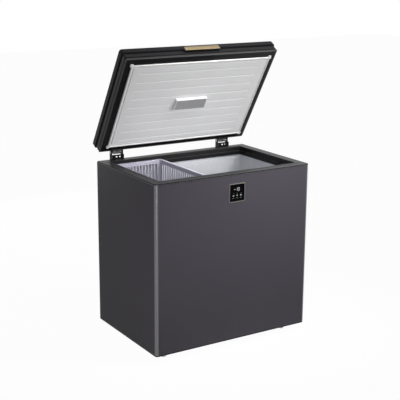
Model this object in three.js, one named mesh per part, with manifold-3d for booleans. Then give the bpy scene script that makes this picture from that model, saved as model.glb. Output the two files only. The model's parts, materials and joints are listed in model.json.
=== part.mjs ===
// Chest freezer with its lid held open. Millimetres, +Z up, +X to the right, +Y to the back.
// Everything is drawn with the cabinet's front face at y = 0 and the floor at z = 0, the lid
// drawn shut and then turned about its pin. The last lines move the origin under the middle.
import * as THREE from 'three';
import { mergeVertices } from 'three/addons/utils/BufferGeometryUtils.js';
import Module from 'manifold-3d';

const wasm = await Module();
wasm.setup();

// ---------- driving dimensions ----------
const cabinetWidth = 790;
const cabinetDepth = 528;
const cabinetHeight = 755; // base to rim
const footHeight = 36;
const edgeRadius = 14; // upright front corners
const rearRadius = 3; // upright rear corners of the collar
const openingRadius = 12; // corners of everything further in
const sheet = 1;
const seat = 0.3; // gap between pieces that touch
const slide = 0.5; // play of a piece that is meant to move

const collar = { skirt: 6, top: 45, ledgeDrop: 20, ledge: 6, depth: 38, wall: 2.5, ease: 2 };
const wallFoam = 46; // outside face of the cabinet to the back of the liner
const floorFoam = 58;
const linerSheet = 1;

const panSheet = 1.5;
const machineRoom = { width: 190, height: 230, frontWall: 60, roof: 45 };
const compressorSize = {
  radius: 68, height: 160, plate: 3, footX: 131, footY: 118, lift: 15, fromBack: 232,
};
const compressorBed = { depth: 190, sheet: 2, play: 2 };
const relayCover = { width: 52, depth: 34, low: 35, high: 90 };
const drierSize = { radius: 11, port: 4, low: 60, high: 150, wallGap: 14, fromBack: 60 };
const pipes = { discharge: 3.2, suction: 4, port: 48, loop: 24, bend: 7 };
const controlBox = { width: 50, depth: 90, fromWall: 20, low: 70, high: 190 };

const lid = {
  sideInset: 3.5, endInset: 2.2, gap: 8, thickness: 66.5, radius: 10, wall: 2.5, flange: 48,
  chamfer: 11, lip: 8, lipIn: 1.5, groove: 6, bandLow: 13, bandIn: 2,
  skinLow: 38, overhang: 3.5, skinEdge: 8, skinSheet: 1.2, skinReturn: 4,
};
const openAngle = THREE.MathUtils.degToRad(58.5); // how far the lid stands open
const pivot = { back: 20, up: 26 }; // hinge pin, from the cabinet's back face and rim
const gasket = { side: 35, front: 36, rear: 33, bead: 6, flap: 2.5, ear: 20, earOut: 7, corner: 6 };
const panel = {
  proud: 6.5, sheet: 1.5, border: 34, fieldDrop: 1.5, ribs: 9, ribPitch: 46, ribWidth: 5, ribShift: 6,
};
const lamp = { x: -1, forward: -3, width: 163, depth: 60, height: 14, wall: 2.5, lens: 2.5, rim: 4 };
const handle = { width: 178, low: 25, high: 51, reach: 6, base: 2, taper: 6 };
const cableCover = { x: 20, width: 44, depth: 12, height: 5 };

const hinge = {
  fromEnd: 108, width: 58, sheet: 2, drop: 95, rise: 17, lobe: 11, pin: 6.4, pinHead: 8.5,
  leafHeight: 21, leafLow: 14, armLow: 8, armHigh: 14, spring: 8.8, wire: 1.6, turns: 6,
  window: { width: 9, height: 5.5, rise: 4.5, tab: 8 },
};

const display = { x: 6.5, below: 85, width: 82, height: 82, rim: 4, proud: 1.5, depth: 26, wall: 1.5 };
const footSize = { inset: 78, fromEnds: 74, top: 10, bottom: 13 };
const basket = { width: 260, depth: 190, wall: 2.5, clearance: 4, rim: 4, band: 14, slot: 8, bar: 8 };
const drain = { fromEnd: 145, fromFront: 120, bore: 6, wall: 2.5, flange: 15 };
const evaporator = { radius: 3.5, turns: 5, top: 70, pitch: 70, setback: 60 };
const sensor = { width: 12, height: 36, depth: 8, x: 60, turn: 3 }; // behind the liner, between turns
const condenser = { radius: 2.5, turns: 3, top: 110, pitch: 110, setback: 30 };
const ventGrille = {
  width: 150, height: 130, fromBack: 55, fromBase: 50, slots: 9, bar: 8, margin: 8, flange: 8, sheet: 2,
};
const rearSlots = { count: 8, width: 120, height: 6, pitch: 18, fromTop: 30 };
const gland = { fromEnd: 55, up: 45, radius: 10, neck: 6, bore: 3.5, proud: 6 };

// ---------- places worked out from them ----------
const base = footHeight;
const rim = base + cabinetHeight;
const halfWidth = cabinetWidth / 2;
const linerFloor = base + floorFoam;
const linerIn = wallFoam + linerSheet;
const ledgeZ = rim - collar.ledgeDrop;
const roomLeft = halfWidth - machineRoom.width;
const roomTop = base + machineRoom.height;
const panBack = cabinetDepth - sheet - seat;
const lidFlange = rim + lid.gap;
const lidTop = lidFlange + lid.thickness;
const lidHalfWidth = halfWidth - lid.sideInset;
const pinY = cabinetDepth + pivot.back;
const pinZ = rim + pivot.up;
const lidBack = cabinetDepth - lid.endInset;

// ---------- materials ----------
const finish = (color, roughness, metalness = 0) =>
  new THREE.MeshStandardMaterial({ color, roughness, metalness });
const graphite = finish(0x4a474d, 0.42, 0.4);
const blackPlastic = finish(0x2a2a2b, 0.55);
const blackSteel = finish(0x1c1c1d, 0.5, 0.3);
const galvanised = finish(0x9b9da0, 0.45, 0.8);
const paleSheet = finish(0xd9dade, 0.4, 0.3);
const palePlastic = finish(0xc4c4c5, 0.5);
const whiteRubber = finish(0xececec, 0.6);
const blackRubber = finish(0x202020, 0.85);
const gold = finish(0xc9ae78, 0.3, 0.9);
const foam = finish(0xe6d9a8, 0.9);
const copper = finish(0xb5704a, 0.35, 0.9);
const darkGlass = finish(0x060607, 0.08);
const bezelMetal = finish(0x6f6c66, 0.35, 0.8);
const board = finish(0x2c5a3a, 0.6);
const frosted = finish(0xb0b0b0, 0.3);
const greyBasket = finish(0xa6a6b2, 0.5);
const paleFoot = finish(0xb9bbbc, 0.6);

const model = new THREE.Group();
const cabinet = new THREE.Group();
const lidGroup = new THREE.Group();
lidGroup.position.set(0, pinY, pinZ);
lidGroup.rotation.x = -openAngle;
model.add(cabinet, lidGroup);

// ---------- solid helpers ----------
function toSolid(geometry) {
  const bare = geometry.clone();
  bare.deleteAttribute('normal');
  bare.deleteAttribute('uv');
  const merged = mergeVertices(bare, 1e-4);
  return new wasm.Manifold(new wasm.Mesh({
    numProp: 3,
    vertProperties: new Float32Array(merged.attributes.position.array),
    triVerts: new Uint32Array(merged.index.array),
  }));
}

function toGeometry(solid) {
  const cut = solid.getMesh();
  const geometry = new THREE.BufferGeometry();
  geometry.setAttribute('position', new THREE.BufferAttribute(cut.vertProperties, 3));
  geometry.setIndex(new THREE.BufferAttribute(cut.triVerts, 1));
  geometry.computeVertexNormals();
  return geometry;
}

function add(group, name, solid, material) {
  const geometry = toGeometry(solid);
  if (group === lidGroup) geometry.translate(0, -pinY, -pinZ);
  const mesh = new THREE.Mesh(geometry, material);
  mesh.name = name;
  group.add(mesh);
}

function box(x0, x1, y0, y1, z0, z1) {
  const geometry = new THREE.BoxGeometry(x1 - x0, y1 - y0, z1 - z0);
  return toSolid(geometry.translate((x0 + x1) / 2, (y0 + y1) / 2, (z0 + z1) / 2));
}

// A cylinder that starts at a point and runs along an axis for a length.
function rod(axis, radius, start, length, segments = 16, endRadius = radius) {
  const geometry = new THREE.CylinderGeometry(endRadius, radius, length, segments);
  geometry.translate(0, length / 2, 0);
  if (axis === 'x') geometry.rotateZ(-Math.PI / 2);
  if (axis === 'z') geometry.rotateX(Math.PI / 2);
  return toSolid(geometry.translate(...start));
}

function polygon(points) {
  return new THREE.Shape(points.map(([a, b]) => new THREE.Vector2(a, b)));
}

// A side view in y and z, given its thickness along x.
function sidePlate(shape, x0, x1) {
  const settings = { depth: x1 - x0, bevelEnabled: false, curveSegments: 6 };
  const geometry = new THREE.ExtrudeGeometry(shape, settings);
  geometry.applyMatrix4(new THREE.Matrix4().set(0, 0, 1, x0, 1, 0, 0, 0, 0, 1, 0, 0, 0, 0, 0, 1));
  return toSolid(geometry);
}

// Footprints: the cabinet's and the lid's outlines seen from above.
const cabinetPlan = {
  left: -halfWidth, right: halfWidth, front: 0, back: cabinetDepth,
  radius: (inset) => Math.max(edgeRadius - inset, openingRadius),
};
const lidPlan = {
  left: -lidHalfWidth, right: lidHalfWidth, front: lid.endInset, back: lidBack,
  radius: (inset) => Math.max(lid.radius - inset, openingRadius / 2),
};

// One loop of points round a footprint, pulled in by an inset, at a height. A footprint may have
// a radius of its own for its two rear corners.
function loopOf(plan, inset, z, arcSteps) {
  const { radius: front, rear = front } = plan;
  const corners = [[1, 1, rear(inset)], [-1, 1, rear(inset)], [-1, -1, front(inset)], [1, -1, front(inset)]];
  return corners.flatMap(([sx, sy, radius], quarter) => {
    const cx = (sx > 0 ? plan.right : plan.left) - sx * (inset + radius);
    const cy = (sy > 0 ? plan.back : plan.front) - sy * (inset + radius);
    return Array.from({ length: arcSteps + 1 }, (_, i) => {
      const turn = (quarter + i / arcSteps) * Math.PI / 2;
      return [cx + radius * Math.cos(turn), cy + radius * Math.sin(turn), z];
    });
  });
}

// A section of (inset, z) points carried round a footprint. It closes on itself as a ring, or
// with capped it starts and ends at a flat face that fills its first and last loops.
function frame(plan, section, { capped = false, arcSteps = 4 } = {}) {
  const loops = section.map(([inset, z]) => loopOf(plan, inset, z, arcSteps));
  const size = loops[0].length;
  const positions = loops.flat(2);
  const index = [];
  const bands = capped ? loops.length - 1 : loops.length;
  for (let i = 0; i < bands; i++) {
    const here = i * size;
    const next = ((i + 1) % loops.length) * size;
    for (let j = 0; j < size; j++) {
      const k = (j + 1) % size;
      index.push(here + j, here + k, next + j, here + k, next + k, next + j);
    }
  }
  if (capped) {
    const last = (loops.length - 1) * size;
    for (let j = 1; j < size - 1; j++) {
      index.push(0, j + 1, j, last, last + j, last + j + 1);
    }
  }
  const geometry = new THREE.BufferGeometry();
  geometry.setAttribute('position', new THREE.Float32BufferAttribute(positions, 3));
  geometry.setIndex(index);
  return toSolid(geometry);
}

const slab = (plan, inset, z0, z1) => frame(plan, [[inset, z0], [inset, z1]], { capped: true });
const ring = (plan, outer, inner, z0, z1) =>
  frame(plan, [[outer, z0], [outer, z1], [inner, z1], [inner, z0]]);

// A path through hand-set corners, each rounded by an arc; its steps fall on its own points.
class BentPath extends THREE.Curve {
  constructor(corners, radius, arcSteps) {
    super();
    this.points = corners.flatMap((corner, i) => {
      if (i === 0 || i === corners.length - 1) return [corner];
      const back = corners[i - 1].clone().sub(corner).normalize();
      const ahead = corners[i + 1].clone().sub(corner).normalize();
      const half = back.angleTo(ahead) / 2;
      const reach = radius / Math.tan(half);
      const inward = back.clone().add(ahead).normalize();
      const middle = inward.multiplyScalar(radius / Math.sin(half)).add(corner);
      const from = corner.clone().addScaledVector(back, reach).sub(middle);
      const to = corner.clone().addScaledVector(ahead, reach).sub(middle);
      const sweep = Math.PI - 2 * half;
      return Array.from({ length: arcSteps + 1 }, (_, k) => {
        const a = Math.sin(sweep * (1 - k / arcSteps)) / Math.sin(sweep);
        const b = Math.sin(sweep * k / arcSteps) / Math.sin(sweep);
        return from.clone().multiplyScalar(a).addScaledVector(to, b).add(middle);
      });
    });
  }

  getPoint(t) {
    const place = t * (this.points.length - 1);
    const i = Math.min(Math.floor(place), this.points.length - 2);
    return this.points[i].clone().lerp(this.points[i + 1], place - i);
  }

  getPointAt(t) {
    return this.getPoint(t);
  }

  getSpacedPoints() {
    return this.points;
  }

  getTangentAt(t) {
    const i = Math.round(t * (this.points.length - 1));
    const before = this.points[Math.max(i - 1, 0)];
    const after = this.points[Math.min(i + 1, this.points.length - 1)];
    const here = this.points[i];
    const into = here.clone().sub(before).normalize();
    const out = after.clone().sub(here).normalize();
    return into.add(out).normalize();
  }
}

function tube(corners, radius, { bend = 12, arcSteps = 4, sides = 8 } = {}) {
  const path = new BentPath(corners.map((c) => new THREE.Vector3(...c)), bend, arcSteps);
  const outline = Array.from({ length: sides }, (_, i) => {
    const turn = (i + 0.5) / sides * Math.PI * 2;
    return new THREE.Vector2(radius * Math.cos(turn), radius * Math.sin(turn));
  });
  const steps = path.points.length - 1;
  return toSolid(new THREE.ExtrudeGeometry(new THREE.Shape(outline), { steps, extrudePath: path }));
}

// A turned piece: its profile is (radius, height) and starts and ends on the axis.
function turned(profile, place, { segments = 18 } = {}) {
  const geometry = new THREE.LatheGeometry(profile.map(([r, h]) => new THREE.Vector2(r, h)), segments);
  return toSolid(geometry.rotateX(Math.PI / 2).translate(...place));
}

const union = (solids) => solids.reduce((sum, solid) => sum.add(solid));

// ---------- cabinet shell ----------
const windowWidth = display.width - 2 * display.rim;
const windowHeight = display.height - 2 * display.rim;
const displayZ = rim - display.below;
const displayHole = (grow, y0, y1) => box(
  display.x - windowWidth / 2 - grow, display.x + windowWidth / 2 + grow, y0, y1,
  displayZ - windowHeight / 2 - grow, displayZ + windowHeight / 2 + grow);

const ventFront = cabinetDepth - ventGrille.fromBack - ventGrille.width;
const ventLow = base + ventGrille.fromBase;
const ventField = (grow, x0, x1) => box(
  x0, x1, ventFront - grow, ventFront + ventGrille.width + grow,
  ventLow - grow, ventLow + ventGrille.height + grow);

const wrapperTop = rim - collar.skirt - seat;
const pastBack = { ...cabinetPlan, back: cabinetDepth + 2 * edgeRadius };
const outerWrapper = frame(pastBack, [
  [0, base], [0, wrapperTop], [sheet, wrapperTop], [sheet, base],
]).subtract(box(-cabinetWidth, cabinetWidth, cabinetDepth, cabinetDepth * 2, 0, rim * 2))
  .subtract(displayHole(0, -1, sheet + 1))
  .subtract(ventField(0, halfWidth - sheet - 1, halfWidth + 1));
add(cabinet, 'outer_wrapper', outerWrapper, graphite);

const innerX = halfWidth - sheet - seat;
const rearHole = box(roomLeft, innerX + 1, 0, cabinetDepth * 2, base - 1, roomTop);
add(cabinet, 'back_panel',
  box(-innerX, innerX, cabinetDepth - sheet, cabinetDepth, base, wrapperTop).subtract(rearHole), graphite);

const drainX = -halfWidth + drain.fromEnd;
const drainHole = (radius, z0, z1) => rod('z', radius, [drainX, drain.fromFront, z0], z1 - z0);
const drainOuter = drain.bore + drain.wall;
const panPlan = { ...cabinetPlan, back: panBack + sheet + seat };
const basePan = slab(panPlan, sheet + seat, base, base + panSheet)
  .subtract(drainHole(drainOuter + seat, 0, rim));
add(cabinet, 'base_pan', basePan, galvanised);

// The collar: skirt, flat top, wall down to the ledge, ledge, and a lip over the liner's edge.
const lipU = collar.top + collar.ledge;
const collarSection = [
  [0, rim - collar.skirt], [0, rim - collar.ease], [collar.ease, rim],
  [collar.top - collar.ease, rim], [collar.top, rim - collar.ease],
  [collar.top, ledgeZ], [lipU - 1, ledgeZ], [lipU, ledgeZ - 1], [lipU, rim - collar.depth],
  [lipU - collar.wall, rim - collar.depth], [lipU - collar.wall, ledgeZ - collar.wall],
  [collar.top - collar.wall, ledgeZ - collar.wall], [collar.top - collar.wall, rim - collar.wall],
  [collar.wall, rim - collar.wall], [collar.wall, rim - collar.skirt],
];
const collarPlan = { ...cabinetPlan, rear: (inset) => Math.min(rearRadius + inset, openingRadius) };
add(cabinet, 'top_collar', frame(collarPlan, collarSection), blackPlastic);

// ---------- liner, foam and the tubes buried in it ----------
const humpLeft = roomLeft - machineRoom.roof;
const humpTop = roomTop + machineRoom.roof;
const linerTop = ledgeZ - collar.wall - seat;
const linerShape = (u, low, step) => slab(cabinetPlan, u, low, linerTop + (step > 0 ? 1 : 0))
  .subtract(box(humpLeft - step, halfWidth, 0, cabinetDepth, 0, humpTop + step));
const linerOut = linerShape(wallFoam, linerFloor - linerSheet, 0);
const innerLiner = linerOut.subtract(linerShape(linerIn, linerFloor, linerSheet))
  .subtract(drainHole(drainOuter + seat, linerFloor - 5, linerFloor + 5));
add(cabinet, 'inner_liner', innerLiner, paleSheet);

// A coil that winds down round the cabinet at an inset, and ends with a drop behind.
function coilCorners(u, spec, endZ) {
  const x = halfWidth - u;
  const back = cabinetDepth - u;
  const corners = [];
  const around = [[x, back], [x, u], [-x, u], [-x, back]];
  for (let i = 0; i <= spec.turns * 4; i++) {
    const [cx, cy] = around[i % 4];
    corners.push([cx, cy, rim - spec.top - spec.pitch * i / 4]);
  }
  const last = corners[corners.length - 1];
  corners.push([last[0], last[1] - spec.setback, last[2]]);
  corners.push([last[0], last[1] - spec.setback, endZ]);
  return corners;
}

const evaporatorU = wallFoam - seat - evaporator.radius;
const condenserU = sheet + 2 * seat + condenser.radius;
const coils = [
  { name: 'evaporator_coil', spec: evaporator, u: evaporatorU, end: roomTop + seat },
  { name: 'condenser_coil', spec: condenser, u: condenserU, end: roomTop + seat },
];
const coilTube = ({ spec, u, end }) =>
  tube(coilCorners(u, spec, end), spec.radius, { bend: 10, arcSteps: 2, sides: 6 });
// The channel is square, and its corners lie further out than its sides.
const coilChannel = ({ spec, u, end }) => tube(coilCorners(u, spec, end - seat),
  (spec.radius + 2 * seat) * Math.SQRT2, { bend: 10, arcSteps: 2, sides: 4 });

const sensorZ = rim - evaporator.top - evaporator.pitch * (sensor.turn + 0.4);
const sensorFront = cabinetDepth - wallFoam + seat;
const sensorBox = (grow) => box(
  sensor.x - sensor.width / 2 - grow, sensor.x + sensor.width / 2 + grow,
  sensorFront - grow, sensorFront + sensor.depth + grow,
  sensorZ - sensor.height / 2 - grow, sensorZ + sensor.height / 2 + grow);

const foamPlan = { ...cabinetPlan, back: panBack + sheet + seat };
const foamOuter = sheet + seat;
const housingHole = displayHole(display.wall + seat, foamOuter - 1, foamOuter + display.depth + 2 * seat);
const cabinetFoam = coils.reduce((block, coil) => block.subtract(coilChannel(coil)), union([
  slab(foamPlan, foamOuter, base + panSheet + seat, linerTop),
  slab(foamPlan, collar.wall + seat, linerTop - 1, rim - collar.wall - seat)
    .subtract(slab(cabinetPlan, collar.top - collar.wall - seat, linerTop - 2, rim)),
])
  .subtract(linerShape(wallFoam - seat, linerFloor - linerSheet - seat, -seat).add(
    slab(cabinetPlan, wallFoam - seat, linerTop - 2, linerTop + seat)))
  .subtract(box(roomLeft, halfWidth, machineRoom.frontWall, cabinetDepth * 2, 0, roomTop))
  .subtract(slab(cabinetPlan, collar.top - collar.wall - seat, linerTop - seat, rim))
  .subtract(housingHole)
  .subtract(sensorBox(seat))
  .subtract(drainHole(drainOuter + seat, 0, rim)));
add(cabinet, 'cabinet_foam', cabinetFoam, foam);
add(cabinet, 'temperature_sensor', sensorBox(0), blackPlastic);
for (const coil of coils) add(cabinet, coil.name, coilTube(coil), copper);

// ---------- defrost drain ----------
const drainFloor = linerFloor + seat;
add(cabinet, 'drain_tube',
  union([
    drainHole(drainOuter, base - 8, drainFloor),
    rod('z', drain.flange, [drainX, drain.fromFront, drainFloor], 1.5),
  ]).subtract(drainHole(drain.bore, 0, rim)), palePlastic);
add(cabinet, 'drain_plug', turned([
  [0, -12], [drain.bore - slide - 1, -12], [drain.bore - slide, 0], [drain.flange - 2, 0],
  [drain.flange - 2, 3], [5, 4], [4, 10], [0, 10],
], [drainX, drain.fromFront, drainFloor + 1.5 + seat]), blackRubber);

// ---------- front display ----------
const bezelBack = -seat;
const bezelFront = bezelBack - display.proud;
add(cabinet, 'display_bezel',
  displayHole(display.rim, bezelFront, bezelBack).subtract(displayHole(0, -5, 5)), bezelMetal);
add(cabinet, 'display_glass', displayHole(-seat, bezelFront + 0.5, sheet), darkGlass);
const housingFront = foamOuter;
const displayHousing = displayHole(display.wall, housingFront, housingFront + display.depth)
  .subtract(displayHole(0, housingFront - 1, housingFront + display.depth - display.wall));
add(cabinet, 'display_housing', displayHousing, blackPlastic);
add(cabinet, 'display_board', displayHole(-seat, housingFront + 5, housingFront + 6.6), board);

// ---------- machine room ----------
const roomMidX = (roomLeft + innerX) / 2;
const compressorY = cabinetDepth - compressorSize.fromBack;
const plateZ = base + panSheet + seat;
const plateTop = plateZ + compressorBed.sheet;
add(cabinet, 'compressor_plate', box(roomLeft + compressorBed.play, innerX - compressorBed.play,
  compressorY - compressorBed.depth / 2, compressorY + compressorBed.depth / 2, plateZ, plateTop),
galvanised);

const footZ = plateTop + seat + compressorSize.lift;
const footPlaces = [-1, 1].flatMap((sx) => [-1, 1].map((sy) =>
  [roomMidX + sx * compressorSize.footX / 2, compressorY + sy * compressorSize.footY / 2]));
const grommetNeck = 5.5;
const footEdge = 12; // foot plate past the middle of its holes
const can = turned([
  [0, 0], [compressorSize.radius * 0.7, 0],
  [compressorSize.radius * 0.95, compressorSize.height * 0.11],
  [compressorSize.radius, compressorSize.height * 0.19],
  [compressorSize.radius, compressorSize.height * 0.44],
  [compressorSize.radius * 0.97, compressorSize.height * 0.68],
  [compressorSize.radius * 0.8, compressorSize.height * 0.88],
  [compressorSize.radius * 0.45, compressorSize.height * 0.98], [0, compressorSize.height],
], [roomMidX, compressorY, footZ + compressorSize.plate - 1], { segments: 20 });
const footPlate = footPlaces.reduce(
  (plate, [x, y]) => plate.subtract(rod('z', grommetNeck + seat, [x, y, footZ - 1], 9, 12)),
  box(roomMidX - compressorSize.footX / 2 - footEdge, roomMidX + compressorSize.footX / 2 + footEdge,
    compressorY - compressorSize.footY / 2 - footEdge, compressorY + compressorSize.footY / 2 + footEdge,
    footZ, footZ + compressorSize.plate));
add(cabinet, 'compressor', can.add(footPlate), blackSteel);
footPlaces.forEach(([x, y], i) => add(cabinet, `compressor_grommet_${i + 1}`, turned([
  [0, 0], [11, 0], [11, 5], [9, 8], [11, 11], [11, compressorSize.lift - seat],
  [grommetNeck, compressorSize.lift - seat], [grommetNeck, compressorSize.lift + 6],
  [0, compressorSize.lift + 6],
], [x, y, plateTop + seat], { segments: 12 }), blackRubber));

const canBack = compressorY + compressorSize.radius + seat;
add(cabinet, 'start_relay_cover', box(
  roomMidX - relayCover.width / 2, roomMidX + relayCover.width / 2,
  canBack, canBack + relayCover.depth, footZ + relayCover.low, footZ + relayCover.high), blackPlastic);

const drierX = roomLeft + seat + drierSize.wallGap;
const drierY = cabinetDepth - drierSize.fromBack;
const drierLow = base + drierSize.low;
const drierHigh = base + drierSize.high;
add(cabinet, 'filter_drier', turned([
  [0, drierLow], [drierSize.port, drierLow], [drierSize.radius, drierLow + drierSize.radius],
  [drierSize.radius, drierHigh - drierSize.radius], [drierSize.port, drierHigh], [0, drierHigh],
], [drierX, drierY, 0], { segments: 16 }), copper);
const canLeft = roomMidX - compressorSize.radius - seat;
const portZ = footZ + pipes.port;
const pipeTop = drierHigh + pipes.loop;
const laneX = (roomLeft + canLeft) / 2; // between the compressor and the room's wall
add(cabinet, 'discharge_pipe', tube([
  [canLeft, compressorY, portZ], [laneX, compressorY, portZ], [laneX, compressorY, pipeTop],
  [drierX, drierY, pipeTop], [drierX, drierY, drierHigh + seat],
], pipes.discharge, { bend: Math.min(pipes.bend, (canLeft - laneX) / 2) }), copper);
const canFront = compressorY - compressorSize.radius - seat;
add(cabinet, 'suction_pipe', tube([
  [roomMidX, canFront, portZ], [roomMidX, canFront - pipes.loop, portZ],
  [roomMidX, canFront - pipes.loop, roomTop - seat],
], pipes.suction, { bend: 10 }), copper);

const controlFront = machineRoom.frontWall + controlBox.fromWall;
add(cabinet, 'control_box', box(
  roomLeft + seat, roomLeft + controlBox.width, controlFront, controlFront + controlBox.depth,
  base + controlBox.low, base + controlBox.high), palePlastic);

// Vent grille: a flange behind the side sheet, and a slotted field that fills the hole.
const grilleOuter = halfWidth - sheet - seat;
const louvrePitch = ventGrille.height / ventGrille.slots;
const grilleSlots = union(Array.from({ length: ventGrille.slots }, (_, i) => box(
  grilleOuter - 10, halfWidth + 1,
  ventFront + ventGrille.margin, ventFront + ventGrille.width - ventGrille.margin,
  ventLow + louvrePitch * i + ventGrille.bar / 2, ventLow + louvrePitch * (i + 1) - ventGrille.bar / 2)));
add(cabinet, 'side_vent_grille',
  ventField(ventGrille.flange, grilleOuter - ventGrille.sheet, grilleOuter)
    .add(ventField(-seat, grilleOuter - 0.5, halfWidth)).subtract(grilleSlots), blackPlastic);

const slotLow = roomTop - rearSlots.fromTop - rearSlots.pitch * rearSlots.count;
const coverSlots = union(Array.from({ length: rearSlots.count }, (_, i) => box(
  roomMidX - rearSlots.width / 2, roomMidX + rearSlots.width / 2, 0, cabinetDepth * 2,
  slotLow + rearSlots.pitch * i, slotLow + rearSlots.pitch * i + rearSlots.height)));
const glandPlace = (y) => [halfWidth - gland.fromEnd, y, base + gland.up];
add(cabinet, 'rear_cover',
  box(roomLeft + seat, innerX, cabinetDepth - sheet, cabinetDepth, plateZ, roomTop - seat)
    .subtract(coverSlots)
    .subtract(rod('y', gland.neck + seat, glandPlace(cabinetDepth - gland.radius), gland.radius * 2)),
  galvanised);
add(cabinet, 'power_inlet_gland',
  rod('y', gland.radius, glandPlace(cabinetDepth + seat), gland.proud, 20, gland.radius - 2)
    .add(rod('y', gland.neck, glandPlace(cabinetDepth - 8), 9))
    .subtract(rod('y', gland.bore, glandPlace(cabinetDepth - gland.radius * 2), gland.radius * 4)),
  blackPlastic);

// ---------- feet ----------
const footXs = { left: -halfWidth + footSize.inset, right: halfWidth - footSize.inset };
const footYs = { front: footSize.fromEnds, rear: cabinetDepth - footSize.fromEnds };
for (const [side, x] of Object.entries(footXs)) {
  for (const [end, y] of Object.entries(footYs)) {
    add(cabinet, `foot_${end}_${side}`, turned([
      [0, 0], [footSize.bottom - 2, 0], [footSize.bottom, 3], [footSize.bottom, 9],
      [footSize.top, 12], [footSize.top, base - seat], [0, base - seat],
    ], [x, y, 0]), paleFoot);
  }
}

// ---------- basket ----------
const ledgeReach = collar.top + slide;
const basketPlan = {
  left: -halfWidth + ledgeReach, right: -halfWidth + ledgeReach + basket.width,
  front: ledgeReach, back: cabinetDepth - ledgeReach,
  radius: (inset) => Math.max(openingRadius + slide - inset, 5),
};
const basketWallU = lipU + basket.clearance - ledgeReach;
const basketInU = basketWallU + basket.wall;
const basketFloor = ledgeZ - basket.depth;
const rimLow = ledgeZ + seat;
const rimHigh = rimLow + basket.rim;
const basketShell = slab(basketPlan, basketWallU, basketFloor, rimHigh)
  .add(slab(basketPlan, 0, rimLow, rimHigh))
  .subtract(slab(basketPlan, basketInU, basketFloor + basket.wall, rim));
const basketPitch = basket.slot + basket.bar;
const wallLow = basketFloor + basket.band;
const wallHigh = rimLow - basket.band;

// Start and end of each slot that fits between two ends, with a solid band at both.
function slotsBetween(from, to) {
  const count = Math.floor((to - from - 2 * basket.band + basket.bar) / basketPitch);
  const start = (from + to - count * basketPitch + basket.bar) / 2;
  return Array.from({ length: count }, (_, i) =>
    [start + basketPitch * i, start + basketPitch * i + basket.slot]);
}
const basketIn = {
  left: basketPlan.left + basketInU, right: basketPlan.right - basketInU,
  front: basketPlan.front + basketInU, back: basketPlan.back - basketInU,
};
const slotsAcross = slotsBetween(basketIn.left, basketIn.right);
const floorRows = 3;
const rowPitch = (basketIn.back - basketIn.front - basket.band) / floorRows;
const floorSlots = slotsAcross.flatMap(([a, b]) => Array.from({ length: floorRows }, (_, i) => {
  const y = basketIn.front + basket.band + rowPitch * i;
  return box(a, b, y, y + rowPitch - basket.band, 0, basketFloor + basket.wall + 1);
}));
const basketSlots = union([
  ...slotsAcross.map(([a, b]) => box(a, b, 0, cabinetDepth, wallLow, wallHigh)),
  ...slotsBetween(basketIn.front, basketIn.back).map(([a, b]) =>
    box(-halfWidth, halfWidth, a, b, wallLow, wallHigh)),
  ...floorSlots,
]);
add(cabinet, 'storage_basket', basketShell.subtract(basketSlots), greyBasket);

// ---------- lid ----------
const lidZ = (t) => lidFlange + t;
const frameTop = lid.skinLow - seat;
const wallIn = lid.groove + lid.wall;
const frameSection = [
  [lid.flange, 0], [lid.chamfer, 0], [lid.lipIn, lid.lip / 2], [lid.lipIn, lid.lip - 1],
  [lid.lipIn + 1, lid.lip], [lid.groove, lid.lip], [lid.groove, lid.bandLow],
  [lid.bandIn + 1, lid.bandLow], [lid.bandIn, lid.bandLow + 1], [lid.bandIn, frameTop],
  [lid.bandIn + lid.wall, frameTop], [lid.bandIn + lid.wall, lid.bandLow + lid.wall],
  [wallIn, lid.bandLow + lid.wall - 1], [wallIn, lid.lip - lid.wall],
  [lid.chamfer + 1, lid.wall], [lid.flange, lid.wall],
].map(([u, t]) => [u, lidZ(t)]);
add(lidGroup, 'lid_frame', frame(lidPlan, frameSection), blackPlastic);

// The skin: a turned-down sheet with its top edge rounded, standing out past the frame below it,
// and turned in again at its foot to sit on the frame.
function skinOutline(inset, radius) {
  const steps = 5;
  return Array.from({ length: steps + 1 }, (_, i) => {
    const turn = (i / steps) * Math.PI / 2;
    return [inset + radius * (1 - Math.sin(turn)), lidTop - radius * (1 - Math.cos(turn))];
  });
}
const skinOutside = skinOutline(-lid.overhang, lid.skinEdge).reverse();
const skinInside = skinOutline(-lid.overhang + lid.skinSheet, lid.skinEdge - lid.skinSheet)
  .map(([u, z]) => [u, z - lid.skinSheet]);
const skinFoot = lidZ(lid.skinLow);
const skinSection = [
  ...skinInside, [lid.skinSheet - lid.overhang, skinFoot + lid.skinSheet],
  [lid.skinReturn, skinFoot + lid.skinSheet], [lid.skinReturn, skinFoot],
  [-lid.overhang, skinFoot], ...skinOutside,
];
add(lidGroup, 'lid_skin', frame(lidPlan, skinSection, { capped: true }), blackPlastic);

const panelU = lid.flange + seat;
const fieldU = panelU + panel.border;
const panelFace = lidZ(-panel.proud);
const panelEdge = lidZ(lid.wall);
const lidMidY = (lid.endInset + lidBack) / 2;
const ribReach = lidHalfWidth - fieldU;
const ribs = union(Array.from({ length: panel.ribs }, (_, i) => {
  const y = lidMidY + panel.ribShift + (i - (panel.ribs - 1) / 2) * panel.ribPitch;
  return box(-ribReach, ribReach, y - panel.ribWidth / 2, y + panel.ribWidth / 2,
    panelFace, panelFace + panel.fieldDrop / 2);
}));
const panelShell = frame(lidPlan, [
  [panelU + 3, panelFace], [panelU, panelFace + 2], [panelU, panelEdge],
  [panelU + panel.sheet, panelEdge], [panelU + panel.sheet, panelFace + 2.5],
  [panelU + panel.sheet + 2, panelFace + panel.sheet],
], { capped: true }).subtract(ribs);
add(lidGroup, 'lid_inner_panel', panelShell, palePlastic);

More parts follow.
